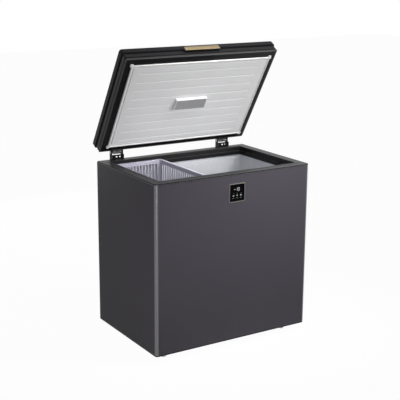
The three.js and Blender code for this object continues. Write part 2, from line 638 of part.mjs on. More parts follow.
const lidFoam = union([
  slab(lidPlan, wallIn + 2 * seat, lidZ(lid.lip - lid.wall), lidTop - 8),
  slab(lidPlan, lid.skinEdge + 3, lidTop - 9, lidTop - lid.skinSheet - seat),
  slab(lidPlan, lid.chamfer + 2, lidZ(lid.wall + seat), lidZ(lid.lip)),
  slab(lidPlan, panelU + panel.sheet + 2 + seat, panelFace + panel.sheet + seat,
    lidZ(lid.wall + seat + 3)),
]);
add(lidGroup, 'lid_foam', lidFoam, foam);

// The gasket: a round-cornered bead, a low flap inside it up to the panel, and a pad at each corner.
const gasketLow = rim + seat;
const gasketTop = lidFlange - seat;
const gasketPlan = {
  left: -lidHalfWidth + gasket.side, right: lidHalfWidth - gasket.side,
  front: lid.endInset + gasket.front, back: lidBack - gasket.rear,
  radius: (inset) => Math.max(gasket.corner - inset, 2),
};
const bead = ring(gasketPlan, 0, gasket.bead, gasketLow, gasketTop);
const flap = slab(gasketPlan, gasket.bead / 2, gasketTop - gasket.flap, gasketTop)
  .subtract(slab(lidPlan, lid.flange, rim, lidFlange));
const ears = union([-1, 1].flatMap((sx) => [gasketPlan.front, gasketPlan.back].map((edge, i) => {
  const outX = sx * (gasketPlan.right + gasket.earOut);
  const outY = edge + (i ? 1 : -1) * gasket.earOut;
  const inX = outX - sx * gasket.ear;
  const inY = outY - (i ? 1 : -1) * gasket.ear;
  return box(Math.min(outX, inX), Math.max(outX, inX), Math.min(outY, inY), Math.max(outY, inY),
    gasketLow + 1, gasketTop);
}))).subtract(slab(gasketPlan, gasket.bead, rim, lidFlange));
const coverFront = lidBack - gasket.rear - gasket.bead / 3;
const coverBox = (grow) => box(
  cableCover.x - cableCover.width / 2 - grow, cableCover.x + cableCover.width / 2 + grow,
  coverFront - grow, coverFront + cableCover.depth + grow,
  gasketTop - cableCover.height - grow, gasketTop + grow);
add(lidGroup, 'lid_gasket', bead.add(flap).add(ears).subtract(coverBox(seat)), whiteRubber);
add(lidGroup, 'lid_cable_cover', coverBox(0), blackPlastic);

// ---------- lid lamp ----------
const lampY = lidMidY - lamp.forward;
const lampTop = panelFace - seat;
const lampLow = lampTop - lamp.height;
const lampBlock = (inset, z0, z1) => box(
  lamp.x - lamp.width / 2 + inset, lamp.x + lamp.width / 2 - inset,
  lampY - lamp.depth / 2 + inset, lampY + lamp.depth / 2 - inset, z0, z1);
add(lidGroup, 'lamp_housing',
  lampBlock(0, lampLow, lampTop).subtract(lampBlock(lamp.rim, lampLow - 1, lampTop - lamp.wall)),
  palePlastic);
add(lidGroup, 'lamp_lens',
  lampBlock(lamp.rim + seat, lampLow + 0.5, lampLow + 0.5 + lamp.lens), frosted);
const lampBoardTop = lampTop - lamp.wall - seat;
add(lidGroup, 'lamp_board', lampBlock(lamp.rim + seat, lampBoardTop - 1.6, lampBoardTop), board);
add(lidGroup, 'lamp_tilt_switch', box(
  lamp.x + lamp.width / 2 - 30, lamp.x + lamp.width / 2 - 14, lampY - 6, lampY + 6,
  lampBoardTop - 1.6 - seat - 5, lampBoardTop - 1.6 - seat), blackPlastic);

// ---------- lid handle ----------
const gripBack = lid.endInset - lid.overhang - seat;
const gripSection = (low, high, reach) => polygon([
  [gripBack - handle.base, lidZ(low)], [gripBack - handle.base, lidZ(high)],
  [gripBack - reach, lidZ(high - 4)], [gripBack - reach - 1, lidZ((low + high) / 2)],
  [gripBack - reach * 0.6, lidZ(low)],
]);
const gripHalf = handle.width / 2;
const pastGrip = handle.reach * 4;
const taperCut = (side) => {
  const shape = polygon([[side * (gripHalf + pastGrip), -pastGrip], [side * (gripHalf + pastGrip), pastGrip],
    [side * gripHalf, gripBack - handle.base],
    [side * (gripHalf - handle.taper), gripBack - handle.reach - 2],
    [side * (gripHalf - handle.taper), -pastGrip]]);
  const geometry = new THREE.ExtrudeGeometry(shape, { depth: lid.thickness * 2, bevelEnabled: false });
  return toSolid(geometry.translate(0, 0, rim));
};
const grip = sidePlate(gripSection(handle.low + 1, handle.high, handle.reach), -gripHalf, gripHalf)
  .subtract(taperCut(-1)).subtract(taperCut(1));
add(lidGroup, 'handle_trim', grip, gold);
add(lidGroup, 'handle_base', box(-gripHalf - 4, gripHalf + 4, gripBack - handle.base + seat, gripBack,
  lidZ(handle.low), lidZ(handle.high - lid.skinEdge)), blackPlastic);

// ---------- hinges ----------
const lobeShape = (radius, yPlate, zLow, zHigh) => {
  const shape = new THREE.Shape();
  shape.moveTo(yPlate, zLow);
  shape.lineTo(pinY, pinZ - radius);
  shape.absarc(pinY, pinZ, radius, -Math.PI / 2, Math.PI / 2, false);
  shape.lineTo(yPlate, zHigh);
  return shape;
};
const pinHole = (x) => rod('x', hinge.pin + seat, [x - hinge.width, pinY, pinZ], hinge.width * 2);

const hingeX = halfWidth - hinge.fromEnd;
for (const [side, x] of Object.entries({ left: -hingeX, right: hingeX })) {
  const half = hinge.width / 2;
  const plateY = cabinetDepth + seat;
  const plateTopZ = rim + hinge.rise;
  const plateLow = rim - hinge.drop;
  const cheekShape = new THREE.Shape();
  cheekShape.moveTo(plateY, plateLow + 12);
  cheekShape.lineTo(pinY + hinge.lobe, rim - 14);
  cheekShape.lineTo(pinY + hinge.lobe, pinZ);
  cheekShape.absarc(pinY, pinZ, hinge.lobe, 0, Math.PI, false);
  cheekShape.lineTo(pinY - hinge.lobe, rim + hinge.rise);
  cheekShape.lineTo(plateY, rim + hinge.rise);
  const cheeks = [x - half, x + half - hinge.sheet].map((x0) =>
    sidePlate(cheekShape, x0, x0 + hinge.sheet));
  const screwPlaces = [-13, 13].map((dx) => [x + dx, plateY, rim - hinge.drop / 2]);
  const windows = [-1, 1].map((side) => {
    const middle = x + side * (hinge.window.tab + hinge.window.width) / 2;
    const low = rim + hinge.window.rise;
    return box(middle - hinge.window.width / 2, middle + hinge.window.width / 2,
      plateY - 1, plateY + hinge.sheet + 1, low, low + hinge.window.height);
  });
  const backPlate = screwPlaces.reduce(
    (plate, place) => plate.subtract(rod('y', 2.6, [place[0], place[1] - 5, place[2]], 12, 12)),
    box(x - half, x + half, plateY, plateY + hinge.sheet, plateLow, plateTopZ).subtract(union(windows)));
  add(cabinet, `hinge_base_${side}`, union([backPlate, ...cheeks]).subtract(pinHole(x)), blackSteel);
  screwPlaces.forEach((place, i) => add(cabinet, `hinge_screw_${side}_${i + 1}`,
    rod('y', 2.3, [place[0], plateY + 0.2, place[2]], hinge.sheet + 1, 10)
      .add(rod('y', 5, [place[0], plateY + hinge.sheet + seat, place[2]], 3, 12, 3.5)), galvanised));

  add(cabinet, `hinge_pin_${side}`,
    rod('x', hinge.pin, [x - half - 2, pinY, pinZ], hinge.width + 2 + seat + 1)
      .add(rod('x', hinge.pinHead, [x + half + seat, pinY, pinZ], 2.5)), galvanised);

  const springHalf = half - 12;
  const coilSteps = 8;
  const windings = Array.from({ length: hinge.turns * coilSteps + 1 }, (_, i) => {
    const turn = i / coilSteps * Math.PI * 2;
    return new THREE.Vector3(x - springHalf + 2 * springHalf * i / (hinge.turns * coilSteps),
      pinY + hinge.spring * Math.cos(turn), pinZ + hinge.spring * Math.sin(turn));
  });
  const springPath = new BentPath([windings[0], windings[windings.length - 1]], 1, 1);
  springPath.points = windings;
  const wireShape = new THREE.Shape(Array.from({ length: 5 }, (_, i) => new THREE.Vector2(
    hinge.wire * Math.cos(i * Math.PI / 2.5), hinge.wire * Math.sin(i * Math.PI / 2.5))));
  add(cabinet, `hinge_spring_${side}`, toSolid(new THREE.ExtrudeGeometry(wireShape, {
    steps: windings.length - 1, extrudePath: springPath,
  })), galvanised);

  const leafHalf = half - hinge.sheet - slide;
  const leafY = lidBack - lid.bandIn + seat;
  const leafLow = lidFlange + hinge.leafLow;
  const arm = lobeShape(hinge.lobe - 1.5, leafY + 1, pinZ - hinge.armLow, pinZ + hinge.armHigh);
  const arms = [x - leafHalf, x + leafHalf - hinge.sheet].map((x0) => sidePlate(arm, x0, x0 + hinge.sheet));
  const leafPlate = box(
    x - leafHalf, x + leafHalf, leafY, leafY + hinge.sheet, leafLow, leafLow + hinge.leafHeight);
  add(lidGroup, `hinge_leaf_${side}`, union([leafPlate, ...arms]).subtract(pinHole(x)), blackSteel);
}

// ---------- origin under the middle of the whole ----------
model.updateMatrixWorld(true);
const bounds = new THREE.Box3().setFromObject(model, true);
const middle = bounds.getCenter(new THREE.Vector3());
model.position.set(-middle.x, -middle.y, -bounds.min.z);

export default model;
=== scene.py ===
import json
import math
import bmesh
import bpy
from mathutils import Matrix, Vector


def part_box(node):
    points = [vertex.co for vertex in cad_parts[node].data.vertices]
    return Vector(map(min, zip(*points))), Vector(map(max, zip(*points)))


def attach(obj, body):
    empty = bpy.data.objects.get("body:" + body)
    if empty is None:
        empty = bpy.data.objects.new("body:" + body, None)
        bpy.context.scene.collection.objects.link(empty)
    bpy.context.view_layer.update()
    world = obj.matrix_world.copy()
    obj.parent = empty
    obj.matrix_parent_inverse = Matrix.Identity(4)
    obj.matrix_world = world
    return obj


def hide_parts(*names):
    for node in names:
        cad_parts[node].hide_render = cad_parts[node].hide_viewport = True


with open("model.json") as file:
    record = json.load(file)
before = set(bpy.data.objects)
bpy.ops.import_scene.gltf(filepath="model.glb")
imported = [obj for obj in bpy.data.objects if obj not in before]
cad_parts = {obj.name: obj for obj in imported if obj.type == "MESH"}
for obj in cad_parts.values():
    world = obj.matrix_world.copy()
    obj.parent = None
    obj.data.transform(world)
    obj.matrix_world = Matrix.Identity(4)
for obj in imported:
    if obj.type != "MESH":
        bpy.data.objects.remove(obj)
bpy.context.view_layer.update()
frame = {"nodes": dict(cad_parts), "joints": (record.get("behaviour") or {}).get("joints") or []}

# A chest freezer with its lid held open. Most places are given in millimetres in the cabinet's
# own frame: x to the right, y back from the front face, z up from the floor. Lid pieces are
# drawn with the lid shut, t being the height above the lid's flange, and are then swung open.
mm = 0.001
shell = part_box("outer_wrapper")
frontY = shell[0].y
freezer = {
    "half": shell[1].x / mm,
    "depth": (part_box("back_panel")[1].y - frontY) / mm,
    "base": shell[0].z / mm,
    "rim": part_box("top_collar")[1].z / mm,
    "corner": 14,
    "innerCorner": 12,
    "rearCorner": 3,
    "lidGap": 8,
    "openAngle": 58.5,
}
lidJoint = next(joint for joint in frame["joints"] if joint["name"] == "lid_hinge")
pin = Vector(lidJoint["pos_m"])
swing = (Matrix.Translation(pin) @ Matrix.Rotation(math.radians(-freezer["openAngle"]), 4, "X")
         @ Matrix.Translation(-pin))


def onCabinet(x, y, z):
    return Vector((x * mm, y * mm + frontY, z * mm))


def onLid(x, y, t):
    return swing @ onCabinet(x, y, t + freezer["rim"] + freezer["lidGap"])


# A screen colour, 0 to 255, as the linear colour that a shader takes.
def tone(*levels):
    shares = [level / 255 for level in levels]
    return (*(s / 12.92 if s <= 0.04045 else ((s + 0.055) / 1.055) ** 2.4 for s in shares), 1)


# One socket of a node tree. Arithmetic on it adds Math nodes.
class Wire:
    def __init__(self, nodes, socket):
        self.nodes = nodes
        self.socket = socket

    def maths(self, operation, *values, clamp=False):
        settings = {"operation": operation, "use_clamp": clamp}
        return self.nodes.node("ShaderNodeMath", settings, dict(enumerate(values)))

    def __add__(self, other):
        return self.maths("ADD", self, other)

    def __sub__(self, other):
        return self.maths("SUBTRACT", self, other)

    def __rsub__(self, other):
        return self.maths("SUBTRACT", other, self)

    def __mul__(self, other):
        return self.maths("MULTIPLY", self, other)

    def __truediv__(self, other):
        return self.maths("DIVIDE", self, other)

    def __rtruediv__(self, other):
        return self.maths("DIVIDE", other, self)

    def __abs__(self):
        return self.maths("ABSOLUTE", self)

    def clamped(self):
        return self.maths("ADD", self, 0, clamp=True)

    __radd__ = __add__
    __rmul__ = __mul__


# A node tree being built.
class Nodes:
    def __init__(self, tree):
        self.tree = tree

    # Any node: its type, its settings, which are set first, and its sockets' values or links.
    def node(self, kind, settings=None, sockets=None, output=0):
        made = self.tree.nodes.new(kind)
        for name, value in (settings or {}).items():
            if name == "stops":
                self.setStops(made.color_ramp, value)
            else:
                setattr(made, name, value)
        for name, value in (sockets or {}).items():
            self.feed(made.inputs[name], value)
        return Wire(self, made.outputs[output])

    def setStops(self, ramp, stops):
        for position, level in stops[2:]:
            ramp.elements.new(position)
        for element, (position, level) in zip(ramp.elements, sorted(stops)):
            element.position = position
            element.color = (level, level, level, 1)

    def feed(self, socket, value):
        if isinstance(value, Wire):
            self.tree.links.new(value.socket, socket)
        else:
            socket.default_value = value


# A material being built: its Principled shader, and the textures that its finish is mixed from.
class Finish(Nodes):
    def __init__(self, name, **constants):
        self.material = bpy.data.materials.new(name)
        self.material.use_nodes = True
        super().__init__(self.material.node_tree)
        self.shader = self.tree.nodes["Principled BSDF"]
        self.set(**constants)
        self.place = self.node("ShaderNodeTexCoord", output="Object")

    def set(self, **sockets):
        for name, value in sockets.items():
            self.feed(self.shader.inputs[name.replace("_", " ")], value)

    def stretched(self, x, y, z):
        sockets = {0: self.place, "Scale": (x, y, z)}
        return self.node("ShaderNodeMapping", {"vector_type": "POINT"}, sockets)

    def noise(self, scale, detail, place=None):
        sockets = {"Vector": place or self.place, "Scale": scale, "Detail": detail}
        return self.node("ShaderNodeTexNoise", {}, sockets)

    def cells(self, scale, feature="F1", output="Distance"):
        sockets = {"Vector": self.place, "Scale": scale}
        return self.node("ShaderNodeTexVoronoi", {"feature": feature}, sockets, output)

    def ramp(self, value, *stops):
        return self.node("ShaderNodeValToRGB", {"stops": list(stops)}, {"Fac": value})

    def blend(self, factor, first, second):
        sockets = {0: factor, 6: first, 7: second}
        return self.node("ShaderNodeMix", {"data_type": "RGBA"}, sockets, output=2)

    def bump(self, height, depth, strength):
        sockets = {"Height": height, "Distance": depth, "Strength": strength}
        return self.node("ShaderNodeBump", {}, sockets)

    def axis(self, name):
        return self.node("ShaderNodeSeparateXYZ", {}, {0: self.place}, output=name)


# Satin sheet paint: fine orange peel, a slight mottle, and dust that settles towards the floor.
# Where the sheet is bent round the upright corners the paint lies smoother, under a clear coat.
# A painted highlight lightens the sides' upper edge.
def paintedSteel(name, colour, dusty, rough, level, cornerCoatAndPaintedHighlight=None):
    finish = Finish(name, IOR=1.45, Specular_IOR_Level=level)
    mottle = finish.noise(2.2, 3)
    fleck = finish.noise(1500, 1)
    dust = finish.ramp(finish.axis("Z"), (0.03, 1), (0.16, 0)) * finish.noise(40, 4) * 0.35
    tint = (mottle - 0.5) * 0.35 + (fleck - 0.5) * 0.16 + dust
    paint = finish.blend((tint + 0.25).clamped(), colour, dusty)
    if cornerCoatAndPaintedHighlight:
        bend = freezer["corner"] * mm
        start, fade = cornerCoatAndPaintedHighlight["start"] * mm, cornerCoatAndPaintedHighlight["fade"] * mm
        beside = ((abs(finish.axis("X")) - (freezer["half"] * mm - bend)) / (bend * cornerCoatAndPaintedHighlight["soft"])).clamped()
        before = ((frontY + bend - finish.axis("Y")) / (bend * cornerCoatAndPaintedHighlight["soft"])).clamped()
        # A painted highlight: a lighter band of colour down from the sides' upper edge.
        edge = ((finish.axis("Z") - (shell[1].z - start)) / fade).clamped()
        paint = finish.blend(beside * edge * cornerCoatAndPaintedHighlight["share"], paint, cornerCoatAndPaintedHighlight["lighterTone"])
        finish.set(Coat_Weight=beside * before, Coat_Roughness=0.2, Coat_IOR=2.0)
    finish.set(
        Base_Color=paint,
        Roughness=(mottle * 0.08 + fleck * 0.05 + rough).clamped(),
        Normal=finish.bump(finish.noise(420, 2), 0.00006, 0.6),
    )
    return finish.material


# Moulded plastic: a fine spark-eroded grain and a faint rubbed look where the grain is low.
def mouldedPlastic(name, colour, lighterTone, rough, grain=900, depth=0.00005, level=0.5):
    finish = Finish(name, IOR=1.45, Specular_IOR_Level=level)
    pores = finish.cells(grain)
    speck = finish.noise(grain * 1.7, 2)
    cloud = finish.noise(6, 4)
    finish.set(
        Base_Color=finish.blend((cloud * 0.7 + pores * 0.5 - 0.25).clamped(), colour, lighterTone),
        Roughness=(cloud * 0.1 + speck * 0.08 + rough - 0.08).clamped(),
        Normal=finish.bump(pores + speck * 0.5, depth, 0.5),
    )
    return finish.material


# The lid frame's plastic, with a painted highlight along the lip and a painted shade, near black, down in the
# two grooves.
def plasticWithPaintedShadeAndHighlight(name, colour, lighterTone, bands, rough, level):
    finish = Finish(name, IOR=1.45, Specular_IOR_Level=level)
    turn = math.radians(freezer["openAngle"])
    flange = (freezer["rim"] + freezer["lidGap"]) * mm
    swungBack = (finish.axis("Y") - pin.y) * math.sin(turn) + (finish.axis("Z") - pin.z) * math.cos(turn)
    height = (swungBack + (pin.z - flange)) / mm

    def between(low, high, rise, fall):
        return ((height - low) / rise).clamped() * ((high - height) / fall).clamped()

    # Masks for the painted shade down in the two grooves.
    lower, upper = (between(low, high, 0.4, 0.4) for low, high in bands["grooves"])
    cloud = finish.noise(6, 4)
    pores = finish.cells(900)
    plain = finish.blend((cloud * 0.7 + pores * 0.5 - 0.25).clamped(), colour, lighterTone)
    # A painted highlight along the lip.
    withPaintedLipHighlight = finish.blend(between(*bands["lip"], 0.8, 1.5), plain, bands["bright"])
    # The grooves take a near-black painted shade over the rest.
    finish.set(
        Base_Color=finish.blend((lower + upper).clamped(), withPaintedLipHighlight, bands["dark"]),
        Roughness=(cloud * 0.1 + rough - 0.05).clamped(),
        Normal=finish.bump(pores + cloud, 0.00005, 0.5),
    )
    return finish.material


# Hot-dipped zinc: flat crystals of slightly different greys, with fine rolling marks.
def zincSheet(name, colour, bright, rough):
    finish = Finish(name, Metallic=0.75)
    spangle = finish.cells(70, output="Color")
    facet = finish.node("ShaderNodeSeparateXYZ", {}, {0: spangle}, output="X")
    lines = finish.noise(60, 2, place=finish.stretched(1, 1, 40))
    finish.set(
        Base_Color=finish.blend((facet * 0.6 + lines * 0.3).clamped(), colour, bright),
        Roughness=(facet * 0.16 + lines * 0.08 + rough - 0.1).clamped(),
        Normal=finish.bump(lines, 0.00004, 0.5),
    )
    return finish.material


# Pressed liner sheet: small raised pebbles rolled into bright aluminium.
def embossedSheet(name, colour, bright):
    finish = Finish(name, Metallic=0.25)
    pebble = finish.cells(170, feature="SMOOTH_F1")
    frost = finish.noise(9, 5)
    raised = finish.ramp(pebble, (0.1, 1), (0.62, 0))
    finish.set(
        Base_Color=finish.blend((frost * 0.8 + raised * 0.2 - 0.2).clamped(), colour, bright),
        Roughness=(frost * 0.14 + 0.3).clamped(),
        Normal=finish.bump(raised, 0.0004, 0.5),
    )
    return finish.material


# Soft rubber or vinyl: matt, slightly uneven, with fine mould lines along the strip.
def softRubber(name, colour, worn, rough=0.6, level=0.35):
    finish = Finish(name, Specular_IOR_Level=level)
    cloud = finish.noise(14, 4)
    grain = finish.noise(1300, 2)
    finish.set(
        Base_Color=finish.blend((cloud * 0.9 - 0.25).clamped(), colour, worn),
        Roughness=(cloud * 0.12 + rough - 0.06).clamped(),
        Normal=finish.bump(grain, 0.00004, 0.5),
    )
    return finish.material


# Anodised trim, linished along its length before it was coloured.
def brushedGold(name, colour, bright):
    finish = Finish(name, Metallic=0.8)
    hair = finish.noise(900, 2, place=finish.stretched(0.02, 1, 1))
    soft = finish.noise(18, 2, place=finish.stretched(0.3, 1, 1))
    finish.set(
        Base_Color=finish.blend((hair * 0.5 + soft * 0.5).clamped(), colour, bright),
        Roughness=(hair * 0.12 + 0.27).clamped(),
        Normal=finish.bump(hair, 0.00003, 0.4),
    )
    return finish.material


# Drawn or turned metal with fine rings and a little tarnish.
def drawnMetal(name, colour, tarnish, rough, metallic=0.95):
    finish = Finish(name, Metallic=metallic)
    stain = finish.noise(60, 5)
    rings = finish.noise(1100, 1)
    finish.set(
        Base_Color=finish.blend(finish.ramp(stain, (0.4, 0), (0.7, 1)), colour, tarnish),
        Roughness=(stain * 0.2 + rings * 0.06 + rough - 0.1).clamped(),
        Normal=finish.bump(rings, 0.00003, 0.5),
    )
    return finish.material


# Rigid foam: closed cells with a darker skin between them.
def rigidFoam(name, colour, skin):
    finish = Finish(name, Roughness=0.9)
    cell = finish.cells(520)
    lump = finish.noise(22, 4)
    finish.set(
        Base_Color=finish.blend((cell * 0.7 + lump * 0.4 - 0.2).clamped(), colour, skin),
        Normal=finish.bump(cell + lump, 0.0004, 0.6),
    )
    return finish.material


# Polished dark glass with a faint film of fingermarks that only shows in its gloss.
def darkGlass(name, colour, film):
    finish = Finish(name, IOR=1.5, Specular_IOR_Level=0.02)
    smear = finish.noise(38, 5, place=finish.stretched(1, 1, 2.4))
    finish.set(
        Base_Color=finish.blend(finish.ramp(smear, (0.45, 0), (0.8, 1)) * 0.4, colour, film),
        Roughness=(finish.ramp(smear, (0.4, 0), (0.75, 1)) * 0.16 + 0.05).clamped(),
        Normal=finish.bump(smear, 0.00002, 0.2),
    )
    return finish.material


# A frosted cover with small prism ribs across it.
def frostedCover(name, colour, bright):
    finish = Finish(name, IOR=1.49)
    bands = {"wave_type": "BANDS", "bands_direction": "X"}
    ribs = finish.node("ShaderNodeTexWave", bands, {"Vector": finish.place, "Scale": 95})
    cloud = finish.noise(30, 3)
    finish.set(
        Base_Color=finish.blend((ribs * 0.25 + cloud * 0.4).clamped(), colour, bright),
        Roughness=(cloud * 0.1 + 0.34).clamped(),
        Normal=finish.bump(ribs, 0.0003, 0.35),
    )
    return finish.material


# Solder mask over copper tracks, with rows of small parts read as lighter cells.
def circuitBoard(name, mask, track):
    finish = Finish(name, Roughness=0.45)
    black, grey, white = ((level, level, level, 1) for level in (0, 0.25, 1))
    sockets = {"Vector": finish.place, "Scale": 180, "Mortar Size": 0.03,
               "Color1": black, "Color2": grey, "Mortar": white}
    lanes = finish.node("ShaderNodeTexBrick", {}, sockets)
    finish.set(
        Base_Color=finish.blend(lanes * 0.8, mask, track),
        Normal=finish.bump(lanes, 0.00006, 0.5),
    )
    return finish.material


# A mark behind glass that glows weakly in its own colour: lit on the display, and painted light where the
# mark is print.
def glowingMark(name, colour, glow):
    finish = Finish(name, Roughness=0.4, Emission_Strength=glow)
    grain = finish.noise(2600, 1)
    shade = finish.blend(grain * 0.3, colour, tone(60, 60, 62))
    finish.set(Base_Color=shade, Emission_Color=shade)
    return finish.material


# In millimetres: how far the painted highlight reaches down from the sides' upper edge, and the heights of
# the lid frame's bands.
# The lid frame's grooves take a painted shade, and its lip takes a painted highlight.
cornerCoatAndPaintedHighlight = {"start": 2.6, "fade": 0.8, "soft": 0.3, "share": 0.6, "lighterTone": tone(128, 126, 132)}
lidPaintedShadeAndHighlight = {
    "grooves": ((7.6, 12.8), (34, 39)),
    "lip": (0.3, 4.2),
    "bright": tone(72, 72, 73),
    "dark": tone(1, 1, 1),
}
finishes = {
    "graphite": paintedSteel("graphite_paint", tone(58, 55, 61), tone(72, 69, 76), 0.28, 0.05, cornerCoatAndPaintedHighlight),
    "skin": mouldedPlastic("lid_skin_black", tone(28, 28, 30), tone(39, 39, 41), 0.5, 700, level=0.07),
    "black": mouldedPlastic("black_plastic", tone(19, 19, 20), tone(30, 30, 31), 0.3, level=0.16),
    "band": plasticWithPaintedShadeAndHighlight("lid_frame_black", tone(15, 15, 16), tone(25, 25, 26), lidPaintedShadeAndHighlight, 0.3, 0.16),
    "collar": mouldedPlastic("collar_black", tone(23, 23, 24), tone(33, 33, 34), 0.32,
                             depth=0.00003, level=0.12),
    "steel": paintedSteel("black_steel", tone(8, 8, 9), tone(17, 17, 18), 0.45, 0.06),
    "zinc": zincSheet("galvanised_sheet", tone(128, 130, 133), tone(176, 179, 182), 0.42),
    "liner": embossedSheet("liner_sheet", tone(192, 194, 199), tone(222, 223, 226)),
    "panel": mouldedPlastic("pale_plastic", tone(206, 206, 207), tone(217, 217, 217), 0.5, 500, level=0.3),
    "gasket": softRubber("white_gasket", tone(211, 211, 210), tone(224, 224, 223), 0.5, level=0.2),
    "rubber": softRubber("black_rubber", tone(26, 26, 27), tone(52, 52, 52), 0.75),
    "gold": brushedGold("champagne_gold", tone(122, 108, 82), tone(152, 137, 107)),
    "foam": rigidFoam("insulation_foam", tone(226, 213, 165), tone(188, 168, 112)),
    "copper": drawnMetal("copper_tube", tone(190, 116, 82), tone(110, 66, 46), 0.34),
    "glass": darkGlass("dark_glass", tone(2, 2, 3), tone(15, 15, 17)),
    "bezel": drawnMetal("bezel_metal", tone(100, 96, 90), tone(84, 81, 76), 0.42, metallic=0.5),
    "board": circuitBoard("circuit_board", tone(24, 66, 42), tone(150, 130, 70)),
    "lens": frostedCover("frosted_cover", tone(132, 132, 133), tone(170, 170, 171)),
    "basket": mouldedPlastic("basket_plastic", tone(160, 158, 172), tone(192, 190, 202), 0.4, grain=600),
    "foot": mouldedPlastic("foot_plastic", tone(212, 213, 214), tone(226, 227, 227), 0.5, grain=500),
    "bright": drawnMetal("bright_steel", tone(146, 147, 150), tone(98, 99, 102), 0.36),
    "digits": glowingMark("display_digits", tone(146, 146, 148), 0.3),
    "iconPale": glowingMark("icon_pale", tone(186, 182, 202), 0.3),
    "iconGreen": glowingMark("icon_green", tone(186, 189, 158), 0.35),
}
print("finishes made:", len(finishes))


# The corners of a closed section, each (inset, height, radius), with arcs in place of corners.
def rounded(corners, steps=4):
    points = []
    for i, (u, v, radius) in enumerate(corners):
        here = Vector((u, v))
        if not radius:
            points.append(here)
            continue
        before = (Vector(corners[i - 1][:2]) - here).normalized()
        after = (Vector(corners[(i + 1) % len(corners)][:2]) - here).normalized()
        halfAngle = before.angle(after) / 2
        reach = radius / math.tan(halfAngle)
        centre = here + (before + after).normalized() * (radius / math.sin(halfAngle))
        start, end = here + before * reach - centre, here + after * reach - centre
        turn = math.pi - 2 * halfAngle
        for k in range(steps + 1):
            a = math.sin(turn * (1 - k / steps)) / math.sin(turn)
            b = math.sin(turn * k / steps) / math.sin(turn)
            points.append(start * a + end * b + centre)
    return points


# A footprint seen from above. Its corners get tighter with the inset, down to the least radius.
def footprint(left, right, front, back, corner, least):
    return {"left": left, "right": right, "front": front, "back": back,
            "radius": lambda inset: max(corner - inset, least)}


# The points round a footprint, pulled in by an inset.
def outline(plan, inset, steps):
    points = []
    for quarter, (toRight, toBack) in enumerate([(1, 1), (-1, 1), (-1, -1), (1, -1)]):
        radius = plan.get("rear", plan["radius"])(inset) if toBack > 0 else plan["radius"](inset)
        centreX = plan["right" if toRight > 0 else "left"] - toRight * (inset + radius)
        centreY = plan["back" if toBack > 0 else "front"] - toBack * (inset + radius)
        for i in range(steps + 1):
            turn = (quarter + i / steps) * math.pi / 2
            points.append((centreX + radius * math.cos(turn), centreY + radius * math.sin(turn)))
    return points


# One loop of a footprint in a mesh, at an inset and a height.
def addLoop(mesh, plan, inset, height, place, steps=8):
    return [mesh.verts.new(place(x, y, height)) for x, y in outline(plan, inset, steps)]


# Joins loops of the same count one after another; caps names the loops that are filled.
def joinLoops(mesh, rows, closed=True, caps=()):
    count = len(rows[0])
    for i in range(len(rows) if closed else len(rows) - 1):
        here, there = rows[i], rows[(i + 1) % len(rows)]
        for j in range(count):
            k = (j + 1) % count
            mesh.faces.new((here[j], here[k], there[k], there[j]))
    for row in caps:
        mesh.faces.new(rows[row])


# A section of (inset, height) points carried round a footprint.
def carryRound(mesh, plan, section, place, closed=True, caps=(), steps=8):
    rows = [addLoop(mesh, plan, u, v, place, steps) for u, v in section]
    joinLoops(mesh, rows, closed, caps)
    return rows


# Loops of points, each joined to the next, with both ends filled.
def addLoft(mesh, loops):
    rows = [[mesh.verts.new(point) for point in loop] for loop in loops]
    joinLoops(mesh, rows, closed=False, caps=(0, -1))


# A profile of (radius, along) points turned about a line.
def addTurned(mesh, profile, centre, axis, sides):
    aside = axis.orthogonal().normalized()
    across = axis.cross(aside)
    turns = [2 * math.pi * i / sides for i in range(sides)]
    spokes = [aside * math.cos(turn) + across * math.sin(turn) for turn in turns]
    addLoft(mesh, [[centre + (axis * along + spoke * radius) * mm for spoke in spokes]
                   for radius, along in profile])


# A round wire through points.
def addWire(mesh, points, radius, sides=10):
    loops = []
    side = None
    for i, point in enumerate(points):
        along = (points[min(i + 1, len(points) - 1)] - points[max(i - 1, 0)]).normalized()
        side = along.orthogonal() if side is None else side - along * side.dot(along)
        side.normalize()
        other = along.cross(side)
        turns = [2 * math.pi * k / sides for k in range(sides)]
        loops.append([point + (side * math.cos(t) + other * math.sin(t)) * radius * mm for t in turns])
    addLoft(mesh, loops)


def addObject(name, data):
    made = bpy.data.objects.new(name, data)
    bpy.context.scene.collection.objects.link(made)
    return made


# Makes the piece: smooth shading with sharp edges past an angle, an edge bevel if one is asked
# for, its finish, and the body that it moves with.
def makePiece(name, mesh, body, finish, stands=(), sharp=35, bevel=0, segments=2):
    bmesh.ops.recalc_face_normals(mesh, faces=mesh.faces)
    for face in mesh.faces:
        face.smooth = True
    for edge in mesh.edges:
        edge.smooth = len(edge.link_faces) == 2 and edge.calc_face_angle(0) < math.radians(sharp)
    data = bpy.data.meshes.new(name)
    mesh.to_mesh(data)
    mesh.free()
    data.materials.append(finishes[finish])
    piece = addObject(name, data)
    if bevel:
        edges = piece.modifiers.new("edges", "BEVEL")
        edges.width = bevel * mm
        edges.segments = segments
        edges.limit_method = "ANGLE"
        edges.angle_limit = math.radians(sharp + 5)
        edges.harden_normals = True
    shading = piece.modifiers.new("shading", "WEIGHTED_NORMAL")
    shading.keep_sharp = True
    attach(piece, body)
    if stands:
        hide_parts(*stands)


# A construction solid redrawn with clean faces and softened edges.
def refined(node, name, body, finish, bevel, sharp=35, segments=2, shape=None):
    mesh = bmesh.new()
    mesh.from_mesh(frame["nodes"][node].data)
    bmesh.ops.remove_doubles(mesh, verts=mesh.verts, dist=0.005 * mm)
    bmesh.ops.dissolve_limit(mesh, angle_limit=math.radians(1), verts=mesh.verts, edges=mesh.edges)
    if shape:
        shape(mesh)
    makePiece(name, mesh, body, finish, (node,), sharp, bevel, segments)


